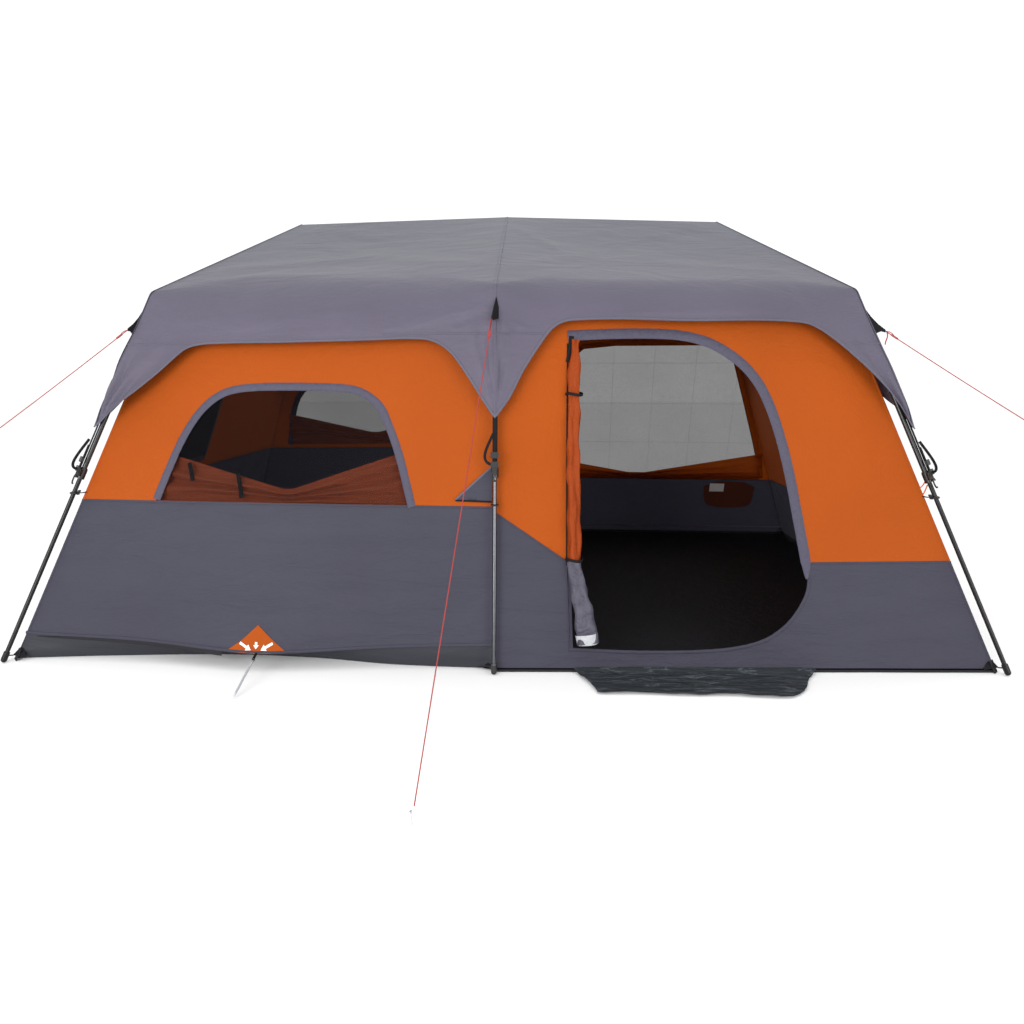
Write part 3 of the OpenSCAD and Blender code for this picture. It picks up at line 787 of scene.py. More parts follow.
def make_fly_grid():
    """(points, normals) of the whole fly; the columns go round it from the front left leg."""
    columns, owners = [], []
    for number, (first, second, hem) in enumerate(FLY_SPANS):
        for i in range(SPAN_COLUMNS):
            columns.append(fly_column(first, second, hem, span_share(i)))
            owners.append((number, span_share(i)))
    grid = np.array([[tuple(p) for p in column] for column in columns]).transpose(1, 0, 2)
    normals = grid_normals(grid)
    for j, (number, k) in enumerate(owners):
        first, second, _ = FLY_SPANS[number]
        near = LEGS[first] if k < 0.5 else LEGS[second]
        on_long_side = LEGS[first].side != LEGS[second].side
        middle = math.sin(math.pi * k)
        for i in range(1, grid.shape[0]):
            point = grid[i, j]
            push = tip_folds(point, near, number * 2 + (k >= 0.5)) if i > ROOF_ROWS else 0.0
            along = point[0] if on_long_side else point[1]
            down = 2.2 - point[2]
            push += creases(number, along, down * 1.6) * smooth(middle * 2) * smooth(i / 6)
            push += 0.0020 * ripple(number + 9, along * 5.0, down * 9.0) * middle
            if on_long_side and i <= ROOF_ROWS:
                push += crease_height(ROOF_CREASES, point[0], -abs(point[1]))
            elif on_long_side:
                push += crease_height(SKIRT_CREASES, point[0], point[2])
            grid[i, j] = point + normals[i, j] * push
    return grid, grid_normals(grid)


FLY_GRID, FLY_NORMALS = make_fly_grid()
HEM_ROW = FLY_GRID.shape[0] - 1
EAVE_ROW = ROOF_ROWS + EAVE_ROWS // 2
KNEE_ROW = round(0.66 * ROOF_ROWS)      # the row above the arms' knees


def fly_part(name, from_column, to_column, from_row, to_row):
    columns = [c % FLY_GRID.shape[1] for c in range(from_column, to_column + 1)]
    rows = FLY_GRID[from_row:to_row + 1][:, columns]
    normals = FLY_NORMALS[from_row:to_row + 1][:, columns]
    points = [[Vector(p) for p in row] for row in rows]
    return grid_object(name, points, row_lengths(points), FLY_CLOTH, normals)


FLY_LIFT = 0.001      # seams and hem lie this far off the fly


def fly_strip(name, spots, width, material=None, height=0.0015):
    """A strip over the (row, column) spots of the fly's grid."""
    spots = [(row, column % FLY_GRID.shape[1]) for row, column in spots]
    points = [Vector(FLY_GRID[spot] + FLY_NORMALS[spot] * FLY_LIFT) for spot in spots]
    normals = [Vector(FLY_NORMALS[spot]) for spot in spots]
    return strip_object(name, points, normals, width, material or FLY_CLOTH, height=height)


SEAM_W = 0.011
HEM_W = 0.012
ARM_COLUMN = {key: i * SPAN_COLUMNS for i, key in enumerate(("fl", "fc", "fr", "br", "bc", "bl"))}


def make_fly():
    """The fly's pieces. Each part between a knee and the next folds with the frame part under it."""
    n = SPAN_COLUMNS
    half = n // 2
    spans = [
        ("front", "fc", 0, 2 * n), ("back", "bc", 3 * n, 5 * n),
        ("side_fr", "fr", 2 * n, 2 * n + half), ("side_br", "br", 2 * n + half, 3 * n),
        ("side_bl", "bl", 5 * n, 5 * n + half), ("side_fl", "fl", 5 * n + half, 6 * n),
    ]
    nodes_of = {
        "front": ("fly_front_left", "fly_front_right", "fly_skirt"),
        "back": ("fly_back_left", "fly_back_right"),
    }
    for name, key, a, b in spans:
        hem_spots = [(HEM_ROW, column) for column in range(a, b + 1)]
        if name in nodes_of:
            folds = [with_arm("inner", key), with_arm("outer", key)]
            folds.append(with_front if name == "front" else with_back)
        else:
            folds = [beside_arm("inner", key), beside_arm("outer", key), with_leg(key)]
        rows = (("upper", 0, KNEE_ROW), ("lower", KNEE_ROW, EAVE_ROW), ("skirt", EAVE_ROW, HEM_ROW))
        for (part, first, last), fold in zip(rows, folds):
            piece = fly_part(f"fly_{name}_{part}", a, b, first, last)
            with_pieces = []
            if part == "upper":
                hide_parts(*nodes_of.get(name, ("fly_sides",)))
            if part == "skirt":
                hem = fly_strip(f"fly_{name}_hem", hem_spots, HEM_W, PIPING_CLOTH, height=0.0025)
                with_pieces = [fold(hem)]
            declare_cloth(fold(piece))
    for key, column in ARM_COLUMN.items():
        parts = (("inner", f"arm_inner_{key}", 0, KNEE_ROW),
                 ("outer", f"arm_outer_{key}", KNEE_ROW, EAVE_ROW),
                 ("leg", f"leg_upper_{key}", EAVE_ROW, HEM_ROW))
        for part, body, first, last in parts:
            spots = [(row, column) for row in range(first, last + 1)]
            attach(fly_strip(f"fly_seam_{part}_{key}", spots, SEAM_W), body)


make_fly()

# ---- Walls ----
WALL_TOP = 1.596
WALL_BOTTOM = 0.066
WALL_BELLY = 0.012
PANEL_STEP = 0.022
NET_STEP = PANEL_STEP * 1.5


class Side:
    """One side of the tent: a chain of legs, with a flat coordinate along x or y, and height."""

    def __init__(self, keys, axis, seed):
        self.legs = [LEGS[key] for key in keys]
        self.axis = axis
        self.seed = seed
        ends = Vector((0, 0, 0))
        for leg in self.legs:
            ends += leg.outward()
        flat = Vector((0, ends.y, 0)) if axis == 0 else Vector((ends.x, 0, 0))
        self.out = flat.normalized()

    def edges(self, s, z):
        """The two wall lines on either side of s, and the share between them."""
        lines = [leg.wall(z) for leg in self.legs]
        for a, b in zip(lines, lines[1:]):
            if s <= b[self.axis] or b is lines[-1]:
                return a, b, (s - a[self.axis]) / (b[self.axis] - a[self.axis])
        return lines[0], lines[1], 0.0

    def at(self, s, z, lift=0.0):
        """The point of the wall at s and height z, lift metres outside it."""
        a, b, k = self.edges(s, z)
        middle = max(0.0, math.sin(math.pi * min(1, max(0, k))))
        tall = smooth((z - WALL_BOTTOM) / 0.25) * smooth((WALL_TOP - z) / 0.25)
        wave = WALL_BELLY * middle * tall
        wave += 0.0045 * ripple(self.seed, s * 1.6, z * 1.6) * middle
        wave += 0.0022 * ripple(self.seed + 3, s * 5.0 + z, z * 3.0 - s) * middle
        return lerp(a, b, k) + self.out * (lift + wave)

    def edge_s(self, z, last):
        return self.legs[-1 if last else 0].wall(z)[self.axis]

    def normal(self, s, z):
        e = 0.01
        across = self.at(s + e, z) - self.at(s - e, z)
        down = self.at(s, z + e) - self.at(s, z - e)
        normal = across.cross(down).normalized()
        return normal if normal.dot(self.out) > 0 else -normal

    def line(self, flat_points, lift):
        points = [self.at(p[0], p[1], lift) for p in flat_points]
        return points, [self.normal(p[0], p[1]) for p in flat_points]


FRONT = Side(("fl", "fc", "fr"), 0, 1)
BACK = Side(("bl", "bc", "br"), 0, 5)
LEFT = Side(("fl", "bl"), 1, 9)
RIGHT = Side(("fr", "br"), 1, 13)

WINDOW = [(-1.570, 0.690), (-1.510, 0.850), (-1.442, 1.008), (-1.357, 1.132), (-1.252, 1.208),
          (-1.119, 1.232), (-0.870, 1.234), (-0.654, 1.229), (-0.568, 1.203), (-0.491, 1.143),
          (-0.452, 1.054), (-0.403, 0.926), (-0.344, 0.690)]
DOOR = [(0.325, 0.084), (0.310, 0.458), (0.308, 0.957), (0.309, 1.457), (0.533, 1.468),
        (0.729, 1.468), (0.846, 1.457), (0.953, 1.427), (1.044, 1.375), (1.123, 1.312),
        (1.188, 1.228), (1.239, 1.114), (1.281, 0.974), (1.312, 0.836), (1.340, 0.673),
        (1.364, 0.535), (1.379, 0.449), (1.378, 0.393), (1.372, 0.335), (1.332, 0.258),
        (1.272, 0.182), (1.179, 0.119), (1.049, 0.085), (0.853, 0.070), (0.600, 0.071),
        (0.458, 0.077)]
BACK_LEFT_WINDOW = [(-1.76, 0.73), (-1.73, 0.90), (-1.67, 1.08), (-1.59, 1.18), (-1.48, 1.235),
                    (-0.70, 1.235), (-0.56, 1.18), (-0.47, 1.04), (-0.40, 0.73)]
BACK_RIGHT_WINDOW = [(0.43, 0.47), (0.43, 1.42), (0.54, 1.51), (1.40, 1.51), (1.545, 1.51),
                     (1.617, 1.44), (1.665, 1.31), (1.782, 0.992), (1.902, 0.654), (1.945, 0.47)]
SEAM_LEFT_Z = 0.703
SEAM_RIGHT_Z = 0.460
SEAM_BACK_RIGHT_Z = 0.455
FOOT_SEAM_Z = 0.06
DIAGONAL_TOP = (0.004, 0.677)
DIAGONAL_END = (0.323, 0.462)
BIND_W = 0.036
DOOR_BIND_W = 0.046


def flat(points):
    return [Vector(p) for p in points]


def inset(points, distance, closed=True):
    """The outline moved inward by distance."""
    moved = []
    count = len(points)
    area = sum(
        points[i - 1][0] * points[i][1] - points[i][0] * points[i - 1][1] for i in range(count)
    )
    turn = 1 if area > 0 else -1
    for i in range(count):
        before = points[i - 1] if i or closed else points[i]
        after = points[(i + 1) % count] if i < count - 1 or closed else points[i]
        here = points[i]
        d0 = (here - before).normalized() if (here - before).length else None
        d1 = (after - here).normalized() if (after - here).length else None
        d0, d1 = d0 or d1, d1 or d0
        n0, n1 = Vector((-d0.y, d0.x)), Vector((-d1.y, d1.x))
        middle = (n0 + n1).normalized()
        reach = distance / max(0.5, middle.dot(n0))
        moved.append(here + middle * reach * turn)
    return moved


def side_edge(side, last, z0, z1, steps=6):
    """Flat points up one end of a side, from z0 to z1."""
    return [Vector((side.edge_s(z, last), z)) for z in between(z0, z1, steps)]


def cloth_on(
    name, place, outline, material, fold, stands_for=(), holes=(), step=PANEL_STEP,
    held="stretched",
):
    """A sheet of cloth within a flat outline that place puts in space; held is None for a trimming."""
    piece = filled_object(name, outline, holes, step, place, material)
    if stands_for:
        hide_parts(*stands_for)
    if held:
        declare_cloth(piece)
    return fold(piece)


def seam_on(name, side, flat_points, fold, width=0.010, material=None, lift=0.0015, height=0.0012):
    """A narrow strip along a line on a side."""
    path, normals = side.line(spaced(flat(flat_points), 0.03), lift)
    return fold(strip_object(name, path, normals, width, material or GREY_CLOTH, height=height))


def clip_outline(outline, level, keep_above):
    """The run of an outline's points above or below a level, with its two crossings, left one first."""
    count = len(outline)
    starts = [
        i for i in range(count)
        if (outline[i - 1][1] > level) != keep_above and (outline[i][1] > level) == keep_above
    ]
    i = starts[0]
    a, b = outline[i - 1], outline[i]
    run = [lerp(a, b, (level - a[1]) / (b[1] - a[1]))]
    while (outline[i % count][1] > level) == keep_above:
        run.append(outline[i % count])
        i += 1
    a, b = outline[(i - 1) % count], outline[i % count]
    run.append(lerp(a, b, (level - a[1]) / (b[1] - a[1])))
    return run if run[0][0] < run[-1][0] else list(reversed(run))


VENT_X = -1.03
VENT_PULL = 0.075
LOW_HEM = [(-2.2, 0.118), (-2.08, 0.112), (-1.6, 0.100), (-1.25, 0.086), (-1.03, 0.080),
           (-0.80, 0.084), (-0.4, 0.098), (0.0, 0.111)]


def vent_pull(s, z):
    """How far the peg pulls the foot of the front wall's left half outward."""
    return VENT_PULL * math.exp(-((s - VENT_X) / 0.42) ** 2) * (1 - smooth((z - 0.06) / 0.34))


def low_front(s, z, lift=0.0):
    """The front wall where the vent peg pulls it out."""
    return FRONT.at(s, z, lift + vent_pull(s, z))


SILL = 0.016
LEFT_HEM_Z = 0.112
CORNER_IN = 0.004      # corner seams lie this far inside the walls' edges


def band(side, last, z0, z1):
    """A flat outline from one end of a side to its middle, between two heights."""
    return side_edge(side, last, z0, z1) + [Vector((0, z1)), Vector((0, z0))]


def make_front_wall():
    """Both halves of the front: orange over grey, the left one pulled out at its foot."""
    window_hole = inset(rounded(flat(WINDOW), False, 1), BIND_W * 0.5)
    cloth_on("wall_front_left_orange", FRONT.at, band(FRONT, False, SEAM_LEFT_Z, WALL_TOP), ORANGE_CLOTH,
             with_front, ("wall_front_left",), [window_hole])
    hem = between(Vector((FRONT.edge_s(LEFT_HEM_Z, False), 0)), Vector((0, 0)), 40)
    hem = [Vector((p.x, ease_through(LOW_HEM, p.x))) for p in hem]
    left_edge = side_edge(FRONT, False, LEFT_HEM_Z, SEAM_LEFT_Z)
    cloth_on("wall_front_left_grey", low_front, hem + [Vector((0, SEAM_LEFT_Z))] + left_edge[:0:-1],
             GREY_CLOTH, with_front)
    path = [low_front(p.x, p.y + 0.006, 0.002) for p in hem]
    normals = [FRONT.normal(p.x, p.y + 0.006) for p in hem]
    with_front(strip_object("wall_front_left_hem", path, normals, 0.014, GREY_CLOTH))

    door_hole = inset(rounded(flat(DOOR), False, 1), DOOR_BIND_W * 0.35)
    above = clip_outline(door_hole, SEAM_RIGHT_Z, True)
    below = clip_outline(door_hole, SEAM_RIGHT_Z, False)
    diagonal = [Vector(DIAGONAL_TOP), Vector(DIAGONAL_END)]
    cloth_on(
        "wall_front_right_orange", FRONT.at,
        diagonal + above + side_edge(FRONT, True, SEAM_RIGHT_Z, WALL_TOP)
        + [Vector((DIAGONAL_TOP[0], WALL_TOP))],
        ORANGE_CLOTH, with_front, ("wall_front_right",),
    )
    cloth_on(
        "wall_front_right_grey", FRONT.at,
        [Vector((DIAGONAL_TOP[0], SILL))] + side_edge(FRONT, True, SILL, SEAM_RIGHT_Z)
        + below[::-1] + diagonal[::-1],
        GREY_CLOTH, with_front,
    )
    left, right = FRONT.edge_s(SEAM_LEFT_Z, False), FRONT.edge_s(SEAM_RIGHT_Z, True)
    seam_on("seam_front_left", FRONT, [(left, SEAM_LEFT_Z), (0, SEAM_LEFT_Z)], with_front)
    seam_on("seam_front_diagonal", FRONT, diagonal, with_front)
    seam_on("seam_front_right", FRONT, [(1.375, SEAM_RIGHT_Z), (right, SEAM_RIGHT_Z)], with_front)
    for last, name, low, seam_z, inward in ((False, "left", 0.115, SEAM_LEFT_Z, CORNER_IN),
                                            (True, "right", SILL, SEAM_RIGHT_Z, -CORNER_IN)):
        for part, a, b, cloth in (("low", low, seam_z, GREY_CLOTH),
                                  ("high", seam_z, WALL_TOP, ORANGE_CLOTH)):
            edge = [p + Vector((inward, 0)) for p in side_edge(FRONT, last, a, b, 12)]
            seam_on(f"corner_seam_{part}_{name}", FRONT, edge, with_front, material=cloth)


def binding_on(name, side, line, width, fold, material=None, lift=0.002, height=0.003):
    """Folded cloth sewn along an edge, a little puckered."""
    path, normals = side.line(spaced(line, 0.012), lift)
    piece = strip_object(name, path, normals, width, material or BINDING_CLOTH, height=height, edge=0.3)
    for vertex in piece.data.vertices:
        pucker = ripple(31, vertex.co.x * 60, vertex.co.z * 60, vertex.co.y * 60)
        vertex.co += side.out * 0.0022 * pucker
    return fold(piece)


def sagging_flap(name, side, corners, bottom_z, behind, fold, seed, material=None):
    """Rolled-down window flap behind a window: its top edge sags between its held corners."""
    columns = 90
    lines = 26
    left, low, right = (Vector(p) for p in corners)
    turn = (low.x - left.x) / (right.x - left.x)
    rows = []
    for i in range(lines + 1):
        t = i / lines
        row = []
        for j in range(columns + 1):
            k = j / columns
            s = lerp(left.x, right.x, k)
            if k < turn:
                top = lerp(left.y, low.y, k / turn)
            else:
                top = lerp(low.y, right.y, (k - turn) / (1 - turn))
            top += 0.006 * math.exp(-((k - turn) / 0.012) ** 2)
            z = lerp(top, bottom_z, t)
            fold_height = 0.015 * math.sin(t * 15 + 2.2 * k + 3.0 * ripple(seed, k * 3, t * 2))
            fold_height += 0.006 * ripple(seed + 1, s * 9, z * 38)
            depth = behind + 0.012 + fold_height * math.sin(math.pi * t) ** 0.5
            row.append(side.at(s, z) - side.out * depth)
        rows.append(row)
    piece = grid_object(name, rows, row_lengths(rows), material or INNER_SHADED_CLOTH)
    declare_cloth(piece)
    return fold(piece)


def make_front_window():
    """Net, binding and dropped flap of the front window, with the flap's ties."""
    line = rounded(flat(WINDOW), False, 2)
    cloth_on("window_front_net", lambda s, z: FRONT.at(s, z, -0.004), line, NET, with_front,
             ("mesh_windows",), step=NET_STEP)
    sewn = [p for p in inset(line, BIND_W * 0.5, False) if p.y > SEAM_LEFT_Z - 0.004]
    binding_on("window_front_binding", FRONT, sewn, BIND_W, with_front)
    sagging_flap("window_front_flap", FRONT, [(-1.56, 0.928), (-0.93, 0.760), (-0.350, 0.952)],
                 0.704, 0.012, with_front, 41)
    for number, (s, top, low) in enumerate(((-1.385, 0.875, 0.795), (-1.150, 0.830, 0.725))):
        tie = [(s - 0.012, top), (s, (top + low) / 2), (s + 0.008, low)]
        seam_on(f"window_flap_tie_{number}", FRONT, tie, with_front, width=0.020, material=WEBBING,
                lift=-0.008)


# Points of DOOR where its top edge starts and where its wide binding ends
DOOR_TOP_FIRST, DOOR_WIDE_LAST = 3, 17
TIE_R = 0.037


def make_door():
    """The doorway's binding, sill edge, zip and top strap, and the rolled door."""
    wide = rounded(flat(DOOR[DOOR_TOP_FIRST:DOOR_WIDE_LAST + 1]), False, 2)
    binding_on("door_binding", FRONT, inset(wide, DOOR_BIND_W * 0.5, False),
               lambda k: DOOR_BIND_W * min(1.0, 0.12 + (1 - k) / 0.05), with_front)
    narrow = rounded(flat(DOOR[DOOR_WIDE_LAST:] + DOOR[:1]), False, 2)
    binding_on("door_sill_edge", FRONT, inset(narrow, 0.012, False), 0.016, with_front,
               material=GREY_CLOTH, height=0.002)
    low, knee, middle = (Vector(p) for p in DOOR[:DOOR_TOP_FIRST])
    top = Vector((DOOR[DOOR_TOP_FIRST][0], 1.40))
    for name, line, cloth in (("zip", [knee, middle, top], WEBBING), ("edge", [low, knee], GREY_CLOTH)):
        binding_on(f"door_left_{name}", FRONT, line, 0.006, with_front, material=cloth, height=0.002)
    strap = [(0.326, 1.432), (0.322, 1.38), (0.312, 1.32)]
    seam_on("door_top_strap", FRONT, strap, with_front, width=0.022, material=WEBBING, lift=0.006)
    make_door_roll()


def crumpled_tube(name, path, radius, material, seed, depth):
    """A roll of cloth along a path: uneven, with lengthwise folds."""
    sides = 28
    piece = tube_object(name, path, radius, material, sides, caps=False)
    for i in range(len(path)):
        for k in range(sides):
            vertex = piece.data.vertices[i * sides + k]
            away = (vertex.co - path[i]).normalized()
            angle = 2 * math.pi * k / sides
            push = ripple(seed, math.cos(angle) * 1.6 + i * 0.04, math.sin(angle) * 1.6, i * 0.16)
            push += 0.6 * math.sin(angle * 3 + i * 0.05 + 2 * ripple(seed, i * 0.05, 0))
            vertex.co += away * depth * push
    return piece


def make_door_roll():
    """The open door's panel, rolled and tied along the left edge of the doorway."""
    top = [(0.345, 1.415), (0.333, 1.25), (0.331, 1.05), (0.335, 0.85), (0.338, 0.65), (0.341, 0.475)]
    low = [(0.342, 0.478), (0.356, 0.40), (0.374, 0.314), (0.390, 0.23), (0.405, 0.130)]
    upper_path = [FRONT.at(p.x, p.y, 0.010) for p in spaced(rounded(flat(top)), 0.014)]
    lower_path = [FRONT.at(p.x, p.y, 0.014) for p in spaced(rounded(flat(low)), 0.012)]

    def upper_radius(k):
        return 0.011 + 0.012 * smooth(k / 0.14) + 0.004 * smooth((k - 0.4) / 0.4)

    # The orange roll's darker colour is painted shade.
    upper = crumpled_tube("door_roll_upper", upper_path, upper_radius, ROLL_ORANGE_SHADED, 51, 0.010)
    lower = crumpled_tube(
        "door_roll_lower", lower_path, lambda k: 0.024 + 0.020 * k, ROLL_GREY, 57, 0.012
    )
    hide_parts("door_panel")
    end = lower_path[-1]
    along = (lower_path[-1] - lower_path[-3]).normalized()
    cap_path = [end + along * way for way in (-0.040, -0.020, -0.004, 0.006)]
    cap = crumpled_tube(
        "door_roll_end", cap_path, lambda k: 0.0475 - 0.006 * k * k, SILVER_CLOTH, 61, 0.004
    )
    face_path = [end - along * 0.010, end + along * 0.001]
    face = tube_object("door_roll_end_face", face_path, 0.038, SILVER_CLOTH, 16)
    for piece in (upper, lower, cap, face):
        with_front(piece)
    for number, (x, z) in enumerate(((0.338, 1.185), (0.342, 0.485))):
        middle = FRONT.at(x, z, 0.010)
        ring = [
            middle + Vector((math.cos(a) * TIE_R, math.sin(a) * TIE_R, 0.004 * math.sin(2 * a)))
            for a in between(0.0, 2 * math.pi, 24)
        ]
        normals = [(p - middle).normalized() for p in ring]
        with_front(strip_object(f"door_tie_{number}", ring, normals, 0.012, WEBBING, height=0.002))


def make_back_wall():
    """Each half of the back: orange over grey, with a window of net, binding and flap."""
    halves = [
        ("left", False, SEAM_LEFT_Z, rounded(flat(BACK_LEFT_WINDOW), False, 1), BINDING_CLOTH),
        ("right", True, SEAM_BACK_RIGHT_Z, rounded(flat(BACK_RIGHT_WINDOW), False, 1), ORANGE_CLOTH),
    ]
    for name, last, seam_z, line, _ in halves:
        cloth_on(f"wall_back_{name}_orange", BACK.at, band(BACK, last, seam_z, WALL_TOP), ORANGE_CLOTH,
                 with_back, (f"wall_back_{name}",), [inset(line, BIND_W * 0.5)])
        # Both grey outlines run anticlockwise.
        grey = band(BACK, last, SILL, seam_z) if last else band(BACK, last, SILL, seam_z)[::-1]
        cloth_on(f"wall_back_{name}_grey", BACK.at, grey, GREY_CLOTH, with_back)
    for name, _, _, line, inner_cloth in halves:
        cloth_on(f"window_back_{name}_net", lambda s, z: BACK.at(s, z, -0.004), line, BACK_NET, with_back,
                 step=NET_STEP)
        sewn = inset(line + [line[0]], BIND_W * 0.5, False)
        for place, lift, height, cloth in (("outer", 0.002, 0.003, BINDING_CLOTH),
                                           ("inner", -0.011, -0.003, inner_cloth)):
            binding_on(f"window_back_{name}_binding_{place}", BACK, sewn, BIND_W, with_back,
                       material=cloth, lift=lift, height=height)
    sagging_flap("window_back_left_flap", BACK, [(-1.72, 0.97), (-1.08, 0.82), (-0.42, 0.97)],
                 0.735, 0.014, with_back, 43)
    # The back right flap takes the lit copy and the other flaps the shaded copy of one flap cloth: painted
    # backlight and painted shade.
    sagging_flap("window_back_right_flap", BACK, [(0.43, 0.592), (0.969, 0.497), (1.908, 0.668)],
                 0.457, 0.014, with_back, 47, LIT_CLOTH)
    for name, last, seam_z, _, _ in halves:
        seam = sorted([(BACK.edge_s(seam_z, last), seam_z), (0.0, seam_z)])
        seam_on(f"seam_back_{name}", BACK, seam, with_back)
    foot = [(BACK.edge_s(FOOT_SEAM_Z, last), FOOT_SEAM_Z) for last in (False, True)]
    seam_on("seam_back_foot", BACK, foot, with_back, width=0.012, material=PIPING_CLOTH,
            lift=-0.009, height=-0.0012)
    for name, last, inward in (("bl", False, CORNER_IN), ("br", True, -CORNER_IN)):
        edge = [p + Vector((inward, 0)) for p in side_edge(BACK, last, SILL, WALL_TOP, 24)]
        seam_on(f"corner_seam_{name}", BACK, edge, with_back, width=0.012)


SIDE_WINDOW = [(0.0, 0.76), (0.86, 0.76), (0.83, 0.95), (0.77, 1.15), (0.70, 1.28), (0.58, 1.345),
               (0.0, 1.35)]


def make_side_window(key, side, fold):
    """A side wall's window, in its front half, closed by the dark flap behind its net."""
    outline = rounded([Vector((-s, z)) for s, z in SIDE_WINDOW], False, 1)
    for place, lift in (("net", 0.0035), ("flap", -0.005)):
        cloth_on(f"side_window_{place}_{key}", lambda s, z, lift=lift: side.at(s, z, lift), outline,
                 SHADE_CLOTH, fold, step=NET_STEP)
    closed = outline + [outline[0]]
    for place, lift, height in (("outer", 0.005, 0.003), ("inner", -0.012, -0.003)):
        binding_on(f"side_window_binding_{place}_{key}", side, closed, BIND_W, fold, lift=lift,
                   height=height)


def make_side_walls():
    """Each half of a side wall folds with its own corner leg."""
    for side, seam_z, keys in ((LEFT, SEAM_LEFT_Z, ("fl", "bl")), (RIGHT, SEAM_RIGHT_Z, ("fr", "br"))):
        for last, key in enumerate(keys):
            fold = with_leg(key)
            cloth_on(f"wall_side_{key}_orange", side.at, band(side, last, seam_z, WALL_TOP),
                     ORANGE_CLOTH, fold, ("wall_sides",) if key == "fl" else ())
            cloth_on(f"wall_side_{key}_grey", side.at, band(side, last, SILL, seam_z), GREY_CLOTH, fold)
            seam_on(f"seam_side_{key}", side, [(side.edge_s(seam_z, last), seam_z), (0, seam_z)], fold)
            if not last:
                make_side_window(key, side, fold)


# ---- Floor ----
FLOOR_SPLIT = 0.12
FLOOR_LINE = [(-2.145, -1.392), (-1.75, -1.352), (-1.186, -1.322), (-0.80, -1.352), (-0.47, -1.412),
              (0.0, -1.445)]
TUB_TOP = 0.135
TUB_CORNER_Z = 0.050
TUB_EDGE_Z = 0.008
HEM_SHADOW_START_X = -2.09


def front_edge_y(x):
    """Where the groundsheet's front edge lies, bowed inward on the left."""
    if x < 0:
        return ease_through(FLOOR_LINE, x)
    return FRONT.at(x, 0.01).y - 0.004


def floor_at(x, y):
    heave = 0.0035 * (1 + ripple(71, x * 2.2, y * 2.2)) + 0.0015 * (1 + ripple(73, x * 8, y * 8))
    return Vector((x, y, 0.001 + heave))


def make_floor():
    """The groundsheet's two leaves and its rim."""
    half = FRONT.edge_s(0.01, True)
    xs = between(-half, half, 48)
    split = [Vector((half, FLOOR_SPLIT)), Vector((-half, FLOOR_SPLIT))]
    front = [Vector((x, front_edge_y(x) + 0.003)) for x in xs] + split
    back = split[::-1] + [Vector((x, BACK.at(x, 0.01).y - 0.003)) for x in reversed(xs)]
    for name, outline in (("floor_front", front), ("floor_back", back)):
        leaf = filled_object(f"{name}_leaf", outline, [], 0.05, floor_at, FLOOR_CLOTH)
        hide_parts(name)
        declare_cloth(leaf)
        Fold(name, (1, 0, 0), (0, 0, 0))(leaf)
    make_tub(xs)


def make_tub(xs):
    """The groundsheet's upturned rim, seen under the front wall's hem, and its edge all round."""
    rows = []
    lines = 12
    taper = FRONT.edge_s(TUB_TOP, True) / xs[-1]
    left = [x for x in xs if x <= 0.0]
    left = [lerp(a, b, k / 3) for a, b in zip(left, left[1:]) for k in range(3)] + [left[-1]]
    for i in range(lines + 1):
        t = i / lines
        row = []
        for x in left:
            top = FRONT.at(x * taper, TUB_TOP, -0.006)
            low = Vector((x, front_edge_y(x), 0.002))
            slack = 0.020 * math.sin(math.pi * t) * ripple(81, x * 3.0, t * 2.0)
            row.append(lerp(top, low, t) + Vector((0, slack - 0.012 * math.sin(math.pi * t), 0)))
        rows.append(row)
    rim = grid_object("tub_front_left", rows, row_lengths(rows), TUB_CLOTH)
    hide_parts("tub_rim")
    declare_cloth(rim)
    with_front(rim)
    # Painted shadow: a black strip on the tub just under the left hem, widening toward the vent peg, where
    # the hem stands out furthest.
    under = between(HEM_SHADOW_START_X, VENT_X - 0.16, 30)
    path = [low_front(x, ease_through(LOW_HEM, x) - 0.008, -0.003) for x in under]
    normals = [FRONT.normal(x, 0.1) for x in under]
    with_front(strip_object("tub_hem_painted_shadow", path, normals, lambda k: 0.006 + 0.022 * k, FLOOR_CLOTH,
                            height=0.0005))
    right = [Vector((x, 0.006)) for x in xs if x >= 0.0]
    edges = [
        ("front_right", FRONT, right, with_front),
        ("back", BACK, [Vector((x, TUB_EDGE_Z)) for x in xs], with_back),
    ]
    corners = (("fl", LEFT, False), ("bl", LEFT, True), ("fr", RIGHT, False), ("br", RIGHT, True))
    for key, side, last in corners:
        line = [Vector((s, TUB_EDGE_Z)) for s in between(side.edge_s(TUB_EDGE_Z, last), 0.0, 16)]
        edges.append((f"side_{key}", side, line, with_leg(key)))
        leg = LEGS[key]
        corner = [leg.wall(z) for z in between(0.0, TUB_CORNER_Z, 4)]
        strip_along(f"tub_corner_{key}", corner, leg.outward(), 0.040, FLOOR_CLOTH, leg.body)
    for name, side, line, fold in edges:
        path, normals = side.line(line, 0.004)
        wide = 0.011 if side is FRONT else 0.018
        piece = strip_object(f"tub_edge_{name}", path, normals, wide, FLOOR_CLOTH, height=0.003)
        fold(piece)


MAT_OUTLINE = [(0.336, -1.452), (0.60, -1.455), (0.90, -1.452), (1.15, -1.450), (1.400, -1.440),
               (1.352, -1.50), (1.322, -1.545), (1.300, -1.60), (1.277, -1.645), (1.235, -1.690),
               (1.191, -1.717), (1.05, -1.708), (0.977, -1.694), (0.80, -1.706), (0.62, -1.692),
               (0.52, -1.695), (0.432, -1.700), (0.426, -1.665), (0.405, -1.60), (0.368, -1.52)]


